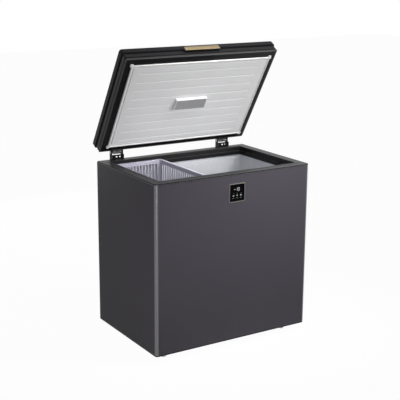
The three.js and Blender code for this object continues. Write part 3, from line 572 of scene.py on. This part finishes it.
# The cabinet's footprint: rounded at the front, nearly square at the back.
half, depth, rim = freezer["half"], freezer["depth"], freezer["rim"]
cabinetPlan = footprint(-half, half, 0, depth, freezer["corner"], freezer["innerCorner"])
cabinetPlan["rear"] = lambda inset: min(freezer["rearCorner"] + inset, freezer["innerCorner"])

wrapper = {"plinth": 5, "rearStrip": 7, "stripBack": 14, "stripSheet": 1.2, "topGap": 6.3, "seam": 0.5}


# The sheet stops short of the floor pan and of the rear corners, where dark trims close it.
def trimWrapper(mesh):
    near = 0.5 * mm
    for vert in mesh.verts:
        if vert.co.z < shell[0].z + near:
            vert.co.z += wrapper["plinth"] * mm
        if vert.co.y > shell[1].y - near:
            vert.co.y -= wrapper["rearStrip"] * mm


refined("outer_wrapper", "cabinet_sheet", "cabinet", "graphite", 0, 30, shape=trimWrapper)
refined("back_panel", "rear_sheet", "cabinet", "graphite", 0)

mesh = bmesh.new()
plinthLow, plinthHigh = freezer["base"], freezer["base"] + wrapper["plinth"] - 0.4
plinthOut, plinthIn = wrapper["seam"], wrapper["stripSheet"]
carryRound(mesh, cabinetPlan, rounded([
    (plinthOut, plinthLow, 0.4), (plinthOut, plinthHigh, 0.4),
    (plinthIn, plinthHigh, 0), (plinthIn, plinthLow, 0)], 2), onCabinet)
makePiece("plinth_trim", mesh, "cabinet", "black")

# An angle strip down each rear corner, over the edges of the side sheet and of the rear panel.
for side, name in ((-1, "left"), (1, "right")):
    mesh = bmesh.new()
    outX, sheetX = side * half, side * (half - wrapper["stripSheet"])
    inX = side * (half - wrapper["stripBack"])
    flangeY, backY = depth - wrapper["rearStrip"] + wrapper["seam"], depth + wrapper["stripSheet"]
    section = [(outX, flangeY), (outX, backY), (inX, backY), (inX, depth), (sheetX, depth), (sheetX, flangeY)]
    levels = (freezer["base"] + 0.3, rim - wrapper["topGap"])
    addLoft(mesh, [[onCabinet(x, y, z) for x, y in section] for z in levels])
    makePiece("rear_corner_strip_" + name, mesh, "cabinet", "black", bevel=0.5)
refined("base_pan", "floor_pan", "cabinet", "zinc", 0.3)
print("cabinet shell made")

# The collar: a skirt over the sheet, a top with a raised inner band, the wall down to the ledge
# that the basket rests on, and a lip over the liner's edge.
collar = {"skirt": 6, "top": 45, "band": 15, "step": 0.9, "slope": (1.2, 0.4),
          "ledgeDrop": 20, "ledge": 6, "depth": 38, "wall": 2.5}
ledge, wall = rim - collar["ledgeDrop"], collar["wall"]
lip = collar["top"] + collar["ledge"]
stepAt = collar["top"] - collar["band"]
mesh = bmesh.new()
carryRound(mesh, cabinetPlan, rounded([
    (0, rim - collar["skirt"], 0.7),
    (0, rim - collar["step"], 1.8),
    (stepAt - collar["slope"][0], rim - collar["step"], 0.8),
    (stepAt + collar["slope"][1], rim, 0.8),
    (collar["top"], rim, 2.4),
    (collar["top"], ledge, 1.2),
    (lip, ledge, 1.6),
    (lip, rim - collar["depth"], 0.4),
    (lip - wall, rim - collar["depth"], 0.4),
    (lip - wall, ledge - wall, 0.4),
    (collar["top"] - wall, ledge - wall, 0.4),
    (collar["top"] - wall, rim - wall - 1, 0.4),
    (wall, rim - wall - 1, 0.4),
    (wall, rim - collar["skirt"], 0.4),
], 4), onCabinet, steps=10)
makePiece("rim_collar", mesh, "cabinet", "collar", ("top_collar",), sharp=50)
refined("inner_liner", "liner_tub", "cabinet", "liner", 0, 40)
refined("storage_basket", "hanging_basket", "basket", "basket", 0.6, 40)
print("rim, liner and basket made")

# The display on the front: a metal frame, a dark window, and what shows behind it.
display = {"rim": 3.2, "corner": 6, "inner": 2.5, "seam": 0.3}
bezelBox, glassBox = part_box("display_bezel"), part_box("display_glass")
centreX = (bezelBox[0].x + bezelBox[1].x) / 2 / mm
centreZ = (bezelBox[0].z + bezelBox[1].z) / 2 / mm
bezelHalf = (bezelBox[1].x - bezelBox[0].x) / 2 / mm
bezelFront = (bezelBox[0].y - frontY) / mm
bezelBack = (bezelBox[1].y - frontY) / mm


# A place on the front face: to the right and up from the display's middle, and how far forward.
def onDisplay(x, up, forward):
    return onCabinet(centreX + x, -forward, centreZ + up)


# The display's outline as a footprint: its front and back are the lower and upper edges.
displayPlan = footprint(-bezelHalf, bezelHalf, -bezelHalf, bezelHalf, display["corner"], display["inner"])
mesh = bmesh.new()
carryRound(mesh, displayPlan, rounded([
    (0, -bezelBack, 0), (0, -bezelFront, 0.9), (display["rim"], -bezelFront, 0.5),
    (display["rim"], -bezelBack, 0)], 3), onDisplay)
makePiece("display_frame", mesh, "cabinet", "bezel", ("display_bezel",))

glassFront = -(glassBox[0].y - frontY) / mm
glassBack = -(glassBox[1].y - frontY) / mm
glassEdge = display["rim"] + display["seam"]
mesh = bmesh.new()
carryRound(mesh, displayPlan, [
    (glassEdge, glassBack), (glassEdge, glassFront - 0.25), (glassEdge + 0.3, glassFront)],
    onDisplay, closed=False, caps=(0, -1))
makePiece("display_window", mesh, "cabinet", "glass", ("display_glass",))

# A minus sign and two seven-segment digits.
digit = {"width": 11, "height": 15, "stroke": 1.9, "gap": 3.4, "up": 15.5, "proud": 0.08}
segments = {  # centre (x, up) in half widths and half heights, and whether it lies flat
    "top": (0, 1, True), "middle": (0, 0, True), "bottom": (0, -1, True),
    "upperLeft": (-1, 0.5, False), "upperRight": (1, 0.5, False),
    "lowerLeft": (-1, -0.5, False), "lowerRight": (1, -0.5, False),
}
lit = {  # each column, in half steps from the middle, with its lit segments
    -1.75: ["middle"],
    -0.75: ["upperRight", "lowerRight"],
    1: ["top", "middle", "bottom", "upperLeft", "upperRight", "lowerLeft", "lowerRight"],
}


def flatMark(mesh, points):
    levels = (glassFront - 0.05, glassFront + digit["proud"])
    addLoft(mesh, [[onDisplay(x, up, forward) for x, up in points] for forward in levels])


mesh = bmesh.new()
for column, names in lit.items():
    middle = column * (digit["width"] + digit["gap"]) / 2
    for name in names:
        aside, above, flat = segments[name]
        x = middle + aside * (digit["width"] - digit["stroke"]) / 2
        up = digit["up"] + above * (digit["height"] - digit["stroke"]) / 2
        reach = (digit["width"] if flat else digit["height"] / 2) / 2 - digit["stroke"] * 0.55
        thick = digit["stroke"] / 2
        points = [(-reach, 0), (-reach + thick, thick), (reach - thick, thick),
                  (reach, 0), (reach - thick, -thick), (-reach + thick, -thick)]
        flatMark(mesh, [(x + a, up + b) if flat else (x + b, up + a) for a, b in points])
makePiece("display_digits", mesh, "cabinet", "digits")


def ringMark(mesh, x, up, outer, inner, sides):
    turns = [2 * math.pi * i / sides for i in range(sides)]
    proud = glassFront + digit["proud"]
    rows = [[mesh.verts.new(onDisplay(x + radius * math.cos(turn), up + radius * math.sin(turn), forward))
             for turn in turns]
            for radius, forward in ((outer, glassFront), (outer, proud), (inner, proud), (inner, glassFront))]
    joinLoops(mesh, rows)


# A bar through a point, half its length and half its width, turned by an angle.
def barMark(mesh, x, up, length, width, degrees=0):
    turn = math.radians(degrees)
    along, across = Vector((math.cos(turn), math.sin(turn))), Vector((-math.sin(turn), math.cos(turn)))
    corners = [along * a * length + across * b * width for a, b in ((-1, -1), (1, -1), (1, 1), (-1, 1))]
    flatMark(mesh, [(x + corner.x, up + corner.y) for corner in corners])


# Three keys: a ringed minus, a snowflake for fast freezing, and a ringed plus. Each is made of
# bars, given by their turns.
keys = {"pitch": 19, "up": -11.5, "ring": (3.2, 2.2), "sign": (1.6, 0.4), "flake": (3.2, 0.5)}
signs = {
    "left": (-1, "iconPale", (0,)),
    "middle": (0, "iconGreen", (0, 60, 120)),
    "right": (1, "iconPale", (0, 90)),
}
for name, (column, finish, bars) in signs.items():
    mesh = bmesh.new()
    x = column * keys["pitch"]
    if column:
        ringMark(mesh, x, keys["up"], *keys["ring"], 20)
    for degrees in bars:
        barMark(mesh, x, keys["up"], *keys["sign" if column else "flake"], degrees)
    makePiece("display_key_" + name, mesh, "cabinet", finish)

# A small lamp over each key, and dashes under it in place of a word. The dashes are print in the
# glowing digits finish, so their glow is painted light.
marks = {"lampUp": -0.5, "lamp": (1.1, 0.5), "dashUp": -22.5, "dash": (0.7, 0.5), "dashes": 5, "step": 1.8}
mesh = bmesh.new()
for column in (-1, 0, 1):
    x = column * keys["pitch"]
    ringMark(mesh, x, marks["lampUp"], *marks["lamp"], 12)
    for i in range(marks["dashes"]):
        barMark(mesh, x + (i - (marks["dashes"] - 1) / 2) * marks["step"], marks["dashUp"], *marks["dash"])
makePiece("display_marks", mesh, "cabinet", "digits")
print("display made")


# The box round a lid piece with the lid shut: (x, y, t) of its low and high corners.
def shutBox(node):
    points = [swing.inverted() @ vert.co for vert in frame["nodes"][node].data.vertices]
    lows = [min(point[i] for point in points) / mm for i in range(3)]
    highs = [max(point[i] for point in points) / mm for i in range(3)]
    for corner in (lows, highs):
        corner[1] -= frontY / mm
        corner[2] -= rim + freezer["lidGap"]
    return lows, highs


lid = {
    "corner": 10, "least": 6, "flange": 48, "sheet": 2.5, "draft": 0.2, "chamfer": ((8.5, 0), (5.4, 2.6)),
    "lipIn": 1.5, "lipLow": 3.1, "lipHigh": 8.2, "groove": 7.6,
    "bandIn": 2, "bandLow": 12.2, "bandFull": 20, "bandHigh": 34.6,
    "wallIn": 9, "wallTop": 37.9, "gusset": (3, 3.1),
}
lidLow, lidHigh = shutBox("lid_frame")
lidPlan = footprint(lidLow[0] - lid["lipIn"], lidHigh[0] + lid["lipIn"],
                    lidLow[1] - lid["lipIn"], lidHigh[1] + lid["lipIn"], lid["corner"], lid["least"])

# The frame: flange, chamfer and lip, a groove, the side band, and a groove under the skin.
flange, sheet, draft, groove = (lid[name] for name in ("flange", "sheet", "draft", "groove"))
mesh = bmesh.new()
carryRound(mesh, lidPlan, rounded([
    (flange, 0, 0.3),
    (*lid["chamfer"][0], 0.8),
    (*lid["chamfer"][1], 0.8),
    (lid["lipIn"] + draft, lid["lipLow"], 1.1),
    (lid["lipIn"], lid["lipHigh"], 0.9),
    (groove, lid["lipHigh"] + draft, 0.3),
    (groove, lid["bandLow"] - draft, 0.3),
    (lid["bandIn"] + 0.3, lid["bandLow"], 0.9),
    (lid["bandIn"], lid["bandFull"], 1),
    (lid["bandIn"], lid["bandHigh"], 0.9),
    (groove, lid["bandHigh"] + draft, 0.3),
    (groove, lid["wallTop"], 0.3),
    (lid["wallIn"], lid["wallTop"], 0.3),
    (lid["wallIn"], sheet + lid["gusset"][1], 0.3),
    (lid["wallIn"] + lid["gusset"][0], sheet, 0.3),
    (flange, sheet, 0.3),
], 3), onLid)
makePiece("lid_frame_band", mesh, "lid", "band", ("lid_frame",), sharp=50)


# A quarter round from an upright wall at an inset to a flat at a level, above it (1) or below (-1).
def quarterRound(inset, radius, level, side, steps):
    turns = [math.pi / 2 * i / steps for i in range(steps + 1)]
    return [(inset + radius * (1 - math.cos(turn)), level - side * radius * (1 - math.sin(turn)))
            for turn in turns]


# The outer skin: one bent sheet whose lower edge turns in under itself, over the upper groove.
skin = {"low": 38, "top": 66.45, "overhang": 3.45, "edge": 8, "sheet": 1.2, "returnIn": 8.9,
        "hem": ((0.8, 0.2), (0.25, 0.45), (0, 1))}
out, thick = -skin["overhang"], skin["sheet"]
outer = [(skin["returnIn"], skin["low"] + skin["hem"][0][1])]
outer += [(out + inset, skin["low"] + up) for inset, up in skin["hem"]]
outer += quarterRound(out, skin["edge"], skin["top"], 1, 8)
inner = [(skin["returnIn"], skin["low"] + thick), (out + thick, skin["low"] + thick + skin["hem"][0][1])]
inner += quarterRound(out + thick, skin["edge"] - thick, skin["top"] - thick, 1, 8)
mesh = bmesh.new()
carryRound(mesh, lidPlan, inner[::-1] + outer, onLid, closed=False, caps=(0, -1))
makePiece("lid_outer_skin", mesh, "lid", "skin", ("lid_skin",), sharp=60)

# The inner panel: a rounded edge, a flat border, and nine long grooves with sloped ends. Groove
# shapes are given as a place across or past the end, and a share of the depth.
panel = {
    "proud": 6.5, "edge": 3, "sheet": 1.5, "seam": 0.3, "deep": 1.6, "half": 3.4, "reach": 309,
    "grooves": 9, "pitch": 46, "shift": 6, "margin": 9,
    "across": [(-1, 0), (-0.6, 0.35), (-0.25, 0.95), (0, 1), (0.25, 0.95), (0.6, 0.35), (1, 0)],
    "ends": [(0, 0), (-1.5, 0.5), (-4, 1)],
}
panelIn = flange + panel["seam"]
face = -panel["proud"]
mesh = bmesh.new()
rows = carryRound(mesh, lidPlan, [
    (panelIn + panel["sheet"], face + panel["sheet"] + 2),
    (panelIn + panel["sheet"], sheet),
    (panelIn, sheet),
    *quarterRound(panelIn, panel["edge"], face, -1, 6),
], onLid, closed=False)
middle = (lidPlan["front"] + lidPlan["back"]) / 2 + panel["shift"]
places = [middle + (i - (panel["grooves"] - 1) / 2) * panel["pitch"] for i in range(panel["grooves"])]
border = panel["half"] + panel["margin"]
alongY = [(places[0] - border, 0)]
alongY += [(y + part * panel["half"], share) for y in places for part, share in panel["across"]]
alongY += [(places[-1] + border, 0)]
ends = [(panel["reach"] + past, share) for past, share in [(panel["margin"], 0)] + panel["ends"]]
alongX = [(-x, share) for x, share in ends] + ends[::-1]
grid = [[mesh.verts.new(onLid(x, y, face + panel["deep"] * shareX * shareY)) for x, shareX in alongX]
        for y, shareY in alongY]
for here, there in zip(grid, grid[1:]):
    for i in range(len(alongX) - 1):
        mesh.faces.new((here[i], here[i + 1], there[i + 1], there[i]))
gridEdge = grid[0] + [row[-1] for row in grid[1:]] + grid[-1][-2::-1] + [row[0] for row in grid[-2:0:-1]]
edges = [mesh.edges.get(pair) for loop in (gridEdge, rows[-1]) for pair in zip(loop, loop[1:] + loop[:1])]
bmesh.ops.triangle_fill(mesh, use_beauty=True, edges=edges)
makePiece("lid_inner_panel_sheet", mesh, "lid", "panel", ("lid_inner_panel",), sharp=55)
print("lid shell made")

# The gasket: a bulb that meets the collar, a low flap inside it, and a pad at each corner.
gasket = {
    "side": 35, "front": 36, "rear": 33, "corner": 6, "least": 2, "top": -0.3, "low": -7.7,
    "bulb": 6, "waist": 0.8, "widest": -2.6, "flap": 4.4, "flapFrom": 4.6, "flapTo": (1.6, 0.4),
}
gasketPlan = footprint(lidPlan["left"] + gasket["side"], lidPlan["right"] - gasket["side"],
                       lidPlan["front"] + gasket["front"], lidPlan["back"] - gasket["rear"],
                       gasket["corner"], gasket["least"])
top, low, bulb, waist = (gasket[name] for name in ("top", "low", "bulb", "waist"))
mesh = bmesh.new()
carryRound(mesh, gasketPlan, rounded([
    (waist, top, 0.2), (0, gasket["widest"], 1.2), (waist, low, 2),
    (bulb - waist, low, 2), (bulb, gasket["widest"], 1.2), (bulb - waist, top, 0.2)], 4), onLid)
flapLow = top - gasket["flap"]
flapTip, flapEnd = (flange - short for short in gasket["flapTo"])
joinLoops(mesh, [addLoop(mesh, plan, inset, height, onLid) for plan, inset, height in (
    (gasketPlan, gasket["flapFrom"], top), (gasketPlan, gasket["flapFrom"], flapLow),
    (lidPlan, flapTip, flapLow), (lidPlan, flapEnd, flapLow + 1), (lidPlan, flapEnd, top))])
ear = {"size": 15, "out": 6, "corner": 4, "least": 1.5}
for toRight in (-1, 1):
    for edge, toBack in ((gasketPlan["front"], -1), (gasketPlan["back"], 1)):
        outX, outY = toRight * (gasketPlan["right"] + ear["out"]), edge + toBack * ear["out"]
        inX, inY = outX - toRight * ear["size"], outY - toBack * ear["size"]
        earPlan = footprint(min(outX, inX), max(outX, inX), min(outY, inY), max(outY, inY),
                            ear["corner"], ear["least"])
        carryRound(mesh, earPlan, [(0, top), (0, low + 2), (0.6, low + 1.2), (2, low + 0.9)], onLid,
                   closed=False, caps=(0, -1), steps=4)
makePiece("lid_seal", mesh, "lid", "gasket", ("lid_gasket",), sharp=60)
refined("lid_cable_cover", "lid_cable_boss", "lid", "black", 1.2, 30, 3)

# The lamp: a shallow tray with drafted walls, and a frosted cover set into it.
lamp = {"corner": 5, "least": 2, "wall": 4, "floor": 2.5, "seam": 0.3}
lampLow, lampHigh = shutBox("lamp_housing")
lampPlan = footprint(lampLow[0], lampHigh[0], lampLow[1], lampHigh[1], lamp["corner"], lamp["least"])
lampTop, lampFace = lampHigh[2], lampLow[2]
trayWall = [(0, lampTop), (0.2, lampTop - 1), (1, lampFace + 1.6), (1.5, lampFace + 0.5), (2.2, lampFace),
            (lamp["wall"] - 0.4, lampFace), (lamp["wall"], lampFace + 0.4),
            (lamp["wall"], lampTop - lamp["floor"])]
mesh = bmesh.new()
carryRound(mesh, lampPlan, trayWall, onLid, closed=False, caps=(0, -1))
makePiece("lamp_tray", mesh, "lid", "panel", ("lamp_housing",), sharp=50)
coverLow, coverIn = shutBox("lamp_lens")[0][2], lamp["wall"] + lamp["seam"]
coverEdge = [(coverIn, coverLow + 2.5), (coverIn, coverLow + 0.6), (coverIn + 0.5, coverLow + 0.15),
             (coverIn + 1.7, coverLow)]
mesh = bmesh.new()
carryRound(mesh, lampPlan, coverEdge, onLid, closed=False, caps=(0, -1))
makePiece("lamp_cover", mesh, "lid", "lens", ("lamp_lens",), sharp=50)

# The handle: a gold bar with two long facets whose ends sink into a black recess. Its ends are
# given as a place from the end, a share of its reach, and how much lower it is on either side.
handle = {"under": 0.32, "over": 0.8, "overDrop": 4, "ends": [(0, 0.15, 3.5), (3, 0.6, 1.4), (7, 1, 0)]}
gripLow, gripHigh = shutBox("handle_trim")
gripBack, gripFront, gripEnd = gripHigh[1], gripLow[1], gripHigh[0]
low, high = gripLow[2], gripHigh[2]
middle, reach = (low + high) / 2, gripFront - gripBack
facets = rounded([
    (gripBack, low, 0.2),
    (gripBack + reach * handle["under"], low, 0.7),
    (gripFront, middle, 2.5),
    (gripBack + reach * handle["over"], high - handle["overDrop"], 1.6),
    (gripBack, high, 0.2)], 4)
ends = [(-gripEnd + far, share, sink) for far, share, sink in handle["ends"]]
ends += [(-x, share, sink) for x, share, sink in reversed(ends)]
loops = []
for x, share, sink in ends:
    squeeze = 1 - sink / (high - middle)
    loops.append([onLid(x, gripBack + (y - gripBack) * share, middle + (t - middle) * squeeze)
                  for y, t in facets])
mesh = bmesh.new()
addLoft(mesh, loops)
makePiece("handle_bar", mesh, "lid", "gold", ("handle_trim",), sharp=30)
refined("handle_base", "handle_recess", "lid", "black", 0.7, 30)
print("lid details made")

# The hinges: an axle with a head at one end, and a coil spring round it with two straight legs.
hinge = {"axle": 6.4, "head": 8.5, "end": 5, "headFrom": 2.5,
         "turns": 8, "radius": 8.2, "wire": 1.2, "legs": 9, "steps": 14, "from": 0.06, "to": 0.94}
for side in ("left", "right"):
    refined("hinge_base_" + side, "hinge_bracket_" + side, "cabinet", "steel", 0.35)
    refined("hinge_leaf_" + side, "hinge_arm_" + side, "lid", "steel", 0.35)

    pinLow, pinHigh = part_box("hinge_pin_" + side)
    centre = Vector((pinLow.x, pin.y, pin.z))
    length = (pinHigh.x - pinLow.x) / mm
    headFrom = length - hinge["headFrom"]
    mesh = bmesh.new()
    addTurned(mesh, [
        (hinge["end"], 0), (hinge["axle"], 1.2), (hinge["axle"], headFrom), (hinge["head"] - 0.4, headFrom),
        (hinge["head"], headFrom + 0.6), (hinge["head"] - 0.8, length - 0.6), (hinge["end"], length),
    ], centre, Vector((1, 0, 0)), 24)
    makePiece("hinge_axle_" + side, mesh, "cabinet", "bright", ("hinge_pin_" + side,))

    springLow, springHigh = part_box("hinge_spring_" + side)
    count = hinge["turns"] * hinge["steps"]
    coil = []
    for i in range(count + 1):
        turn = 2 * math.pi * i / hinge["steps"] - math.pi / 2
        share = hinge["from"] + (hinge["to"] - hinge["from"]) * i / count
        x = springLow.x + (springHigh.x - springLow.x) * share
        coil.append(Vector((x, pin.y + hinge["radius"] * mm * math.sin(turn),
                            pin.z + hinge["radius"] * mm * math.cos(turn))))
    leg = Vector((0, 0, -hinge["legs"] * mm))
    mesh = bmesh.new()
    addWire(mesh, [coil[0] + leg] + coil + [coil[-1] + leg], hinge["wire"])
    makePiece("hinge_coil_" + side, mesh, "cabinet", "bright",
              ("hinge_spring_" + side,), 70)


# A pan-head screw with a round recess, its head towards the back of the freezer.
def addScrew(mesh, place, radius, high):
    addTurned(mesh, [(radius, -0.2), (radius, 0.5), (radius * 0.86, high * 0.75), (radius * 0.55, high),
                     (radius * 0.4, high), (radius * 0.3, high * 0.35)], place, Vector((0, 1, 0)), 20)


screws = {"bracket": (4.8, 2.6), "sheet": (3.6, 1.8), "inset": 8}  # radius and height; how far in
for side in ("left", "right"):
    for number in ("1", "2"):
        node = "hinge_screw_" + side + "_" + number
        low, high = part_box(node)
        seat = Vector(((low.x + high.x) / 2, high.y - screws["bracket"][1] * mm, (low.z + high.z) / 2))
        mesh = bmesh.new()
        addScrew(mesh, seat, *screws["bracket"])
        makePiece("bracket_screw_" + side + "_" + number, mesh, "cabinet", "bright",
                  (node,), 50)

# The rear cover, the rear sheet's screws and the right side's fittings.
refined("rear_cover", "compressor_cover", "cabinet", "zinc", 0.25)
refined("side_vent_grille", "side_grille", "cabinet", "black", 0.6)
refined("power_inlet_gland", "inlet_gland", "cabinet", "black", 0.4)
coverLow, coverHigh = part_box("rear_cover")
mesh = bmesh.new()
inset = screws["inset"] * mm
for x in (coverLow.x + inset, coverHigh.x - inset):
    for z in (coverLow.z + inset, coverHigh.z - inset):
        addScrew(mesh, Vector((x, coverHigh.y, z)), *screws["sheet"])
sheetLow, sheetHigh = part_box("back_panel")
for x in (sheetLow.x + 3 * inset, (sheetLow.x + coverLow.x) / 2, coverLow.x - inset):
    addScrew(mesh, Vector((x, sheetHigh.y, sheetLow.z + inset)), *screws["sheet"])
makePiece("rear_sheet_screws", mesh, "cabinet", "bright", (), 50)

# The feet: a wide pad with a groove round it, and a neck. Radius, then height above the floor.
footProfile = [(11, 0), (12.3, 0.3), (12.9, 1.4), (12.9, 4), (12.3, 4.5), (12.9, 5), (12.9, 8.6), (12, 9.8),
               (10.4, 11), (9.8, 12.6)]
for end in ("front", "rear"):
    for side in ("left", "right"):
        node = "foot_" + end + "_" + side
        low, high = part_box(node)
        middle = Vector(((low.x + high.x) / 2, (low.y + high.y) / 2, low.z))
        neck = (footProfile[-1][0], (high.z - low.z) / mm)
        mesh = bmesh.new()
        addTurned(mesh, footProfile + [neck], middle, Vector((0, 0, 1)), 40)
        makePiece("levelling_foot_" + end + "_" + side, mesh, "cabinet", "foot", (node,), 40)

refined("drain_tube", "drain_spout", "cabinet", "panel", 0.4)
refined("drain_plug", "drain_stopper", "plug", "rubber", 0.4)

# Pieces inside the walls and behind the covers, by finish. They stay as they were built.
kept = {
    "foam": ["cabinet_foam", "lid_foam"],
    "copper": ["evaporator_coil", "condenser_coil", "filter_drier", "discharge_pipe", "suction_pipe"],
    "black": ["temperature_sensor", "display_housing", "start_relay_cover", "lamp_tilt_switch"],
    "board": ["display_board", "lamp_board"],
    "zinc": ["compressor_plate"],
    "steel": ["compressor"],
    "rubber": ["compressor_grommet_" + number for number in "1234"],
    "panel": ["control_box"],
}
for finish, nodes in kept.items():
    for node in nodes:
        data = frame["nodes"][node].data
        data.materials.clear()
        data.materials.append(finishes[finish])
print("hinges, feet, rear and inner pieces finished")

# The camera: its place in metres, its turns in degrees and its lens in millimetres.
camera = {"place": (-2.28381, -3.6151, 1.71553), "yaw": 32.29, "pitch": 14.49, "roll": 0.39, "lens": 87.54}


def addCamera(spec):
    yaw, pitch, roll = (math.radians(spec[name]) for name in ("yaw", "pitch", "roll"))
    ahead = Vector((math.sin(yaw) * math.cos(pitch), math.cos(yaw) * math.cos(pitch), -math.sin(pitch)))
    right = Vector((math.cos(yaw), -math.sin(yaw), 0))
    up = right.cross(ahead)
    right, up = right * math.cos(roll) + up * math.sin(roll), up * math.cos(roll) - right * math.sin(roll)
    data = bpy.data.cameras.new("camera")
    data.lens = spec["lens"]
    data.sensor_width = 36
    data.clip_end = 200
    made = addObject("camera", data)
    turn = Matrix((right, up, -ahead)).transposed().to_4x4()
    made.matrix_world = Matrix.Translation(Vector(spec["place"])) @ turn
    bpy.context.scene.camera = made


addCamera(camera)


# One for a ray from the camera, a reflection or a clear piece, and zero for diffuse light.
def seenShare(nodes):
    rays = ("Is Camera Ray", "Is Glossy Ray", "Is Transmission Ray")
    direct, glossy, through = (nodes.node("ShaderNodeLightPath", output=ray) for ray in rays)
    return (direct + glossy + through).clamped()


# The room: white where it is seen, and a lower plain light from it elsewhere.
room = {"world": 0.2, "floorGlow": 0.97, "size": 12}
world = bpy.data.worlds.new("studio")
bpy.context.scene.world = world
world.use_nodes = True
sky = Nodes(world.node_tree)
background = world.node_tree.nodes["Background"]
sky.feed(background.inputs["Color"], (1, 1, 1, 1))
sky.feed(background.inputs["Strength"], seenShare(sky) * (1 - room["world"]) + room["world"])

floorFinish = Finish("studio_floor", Roughness=0.9, Specular_IOR_Level=0)
shade = floorFinish.blend(floorFinish.noise(3, 2), tone(229, 229, 229), tone(233, 233, 233))
floorFinish.set(Base_Color=shade)
matt = Wire(floorFinish, floorFinish.shader.outputs[0])
glow = floorFinish.node("ShaderNodeEmission", {}, {"Color": (1, 1, 1, 1), "Strength": 1})
share = seenShare(floorFinish) * room["floorGlow"]
mix = floorFinish.node("ShaderNodeMixShader", {}, {0: share, 1: matt, 2: glow})
floorFinish.feed(floorFinish.tree.nodes["Material Output"].inputs["Surface"], mix)
mesh = bmesh.new()
bmesh.ops.create_grid(mesh, x_segments=1, y_segments=1, size=room["size"])
data = bpy.data.meshes.new("studio_floor")
mesh.to_mesh(data)
mesh.free()
data.materials.append(floorFinish.material)
floor = addObject("studio_floor", data)

# Each lamp's place, what it points at, its width and height, its watts, and its spread in degrees.
lamps = {
    "lidFill": ((-0.6, -2.4, 1.15), (-0.05, -0.1, 1.08), 0.9, 0.9, 2.1, 46),
    "frontRight": ((1.6, -1.9, 1.0), (0.34, -0.29, 0.78), 0.7, 0.7, 2.9, 50),
    "highRight": ((1.1, -1.1, 2.2), (0.3, -0.29, 0.65), 0.8, 0.8, 5.5, 50),
    "overWell": ((0.1, -0.75, 2.3), (0, 0.05, 0.75), 0.6, 0.6, 1.7, 40),
    "cornerStrip": ((-1.55, -1.75, 0.35), (-0.39, -0.28, 0.42), 0.3, 0.7, 0.3, 20),
    "behind": ((0, 2.8, 0.42), (0, 0.3, 0.5), 1.6, 0.7, 16, 120),
}


def addLamp(name, place, target, width, height, watts, spread):
    data = bpy.data.lights.new(name, "AREA")
    data.shape = "RECTANGLE"
    data.size = width
    data.size_y = height
    data.energy = watts
    data.spread = math.radians(spread)
    made = addObject(name, data)
    made.location = place
    made.rotation_euler = (Vector(target) - Vector(place)).to_track_quat("-Z", "Y").to_euler()


for name, spec in lamps.items():
    addLamp(name, *spec)
bpy.context.scene.view_settings.view_transform = "Standard"
print("stage, lamps and camera set")
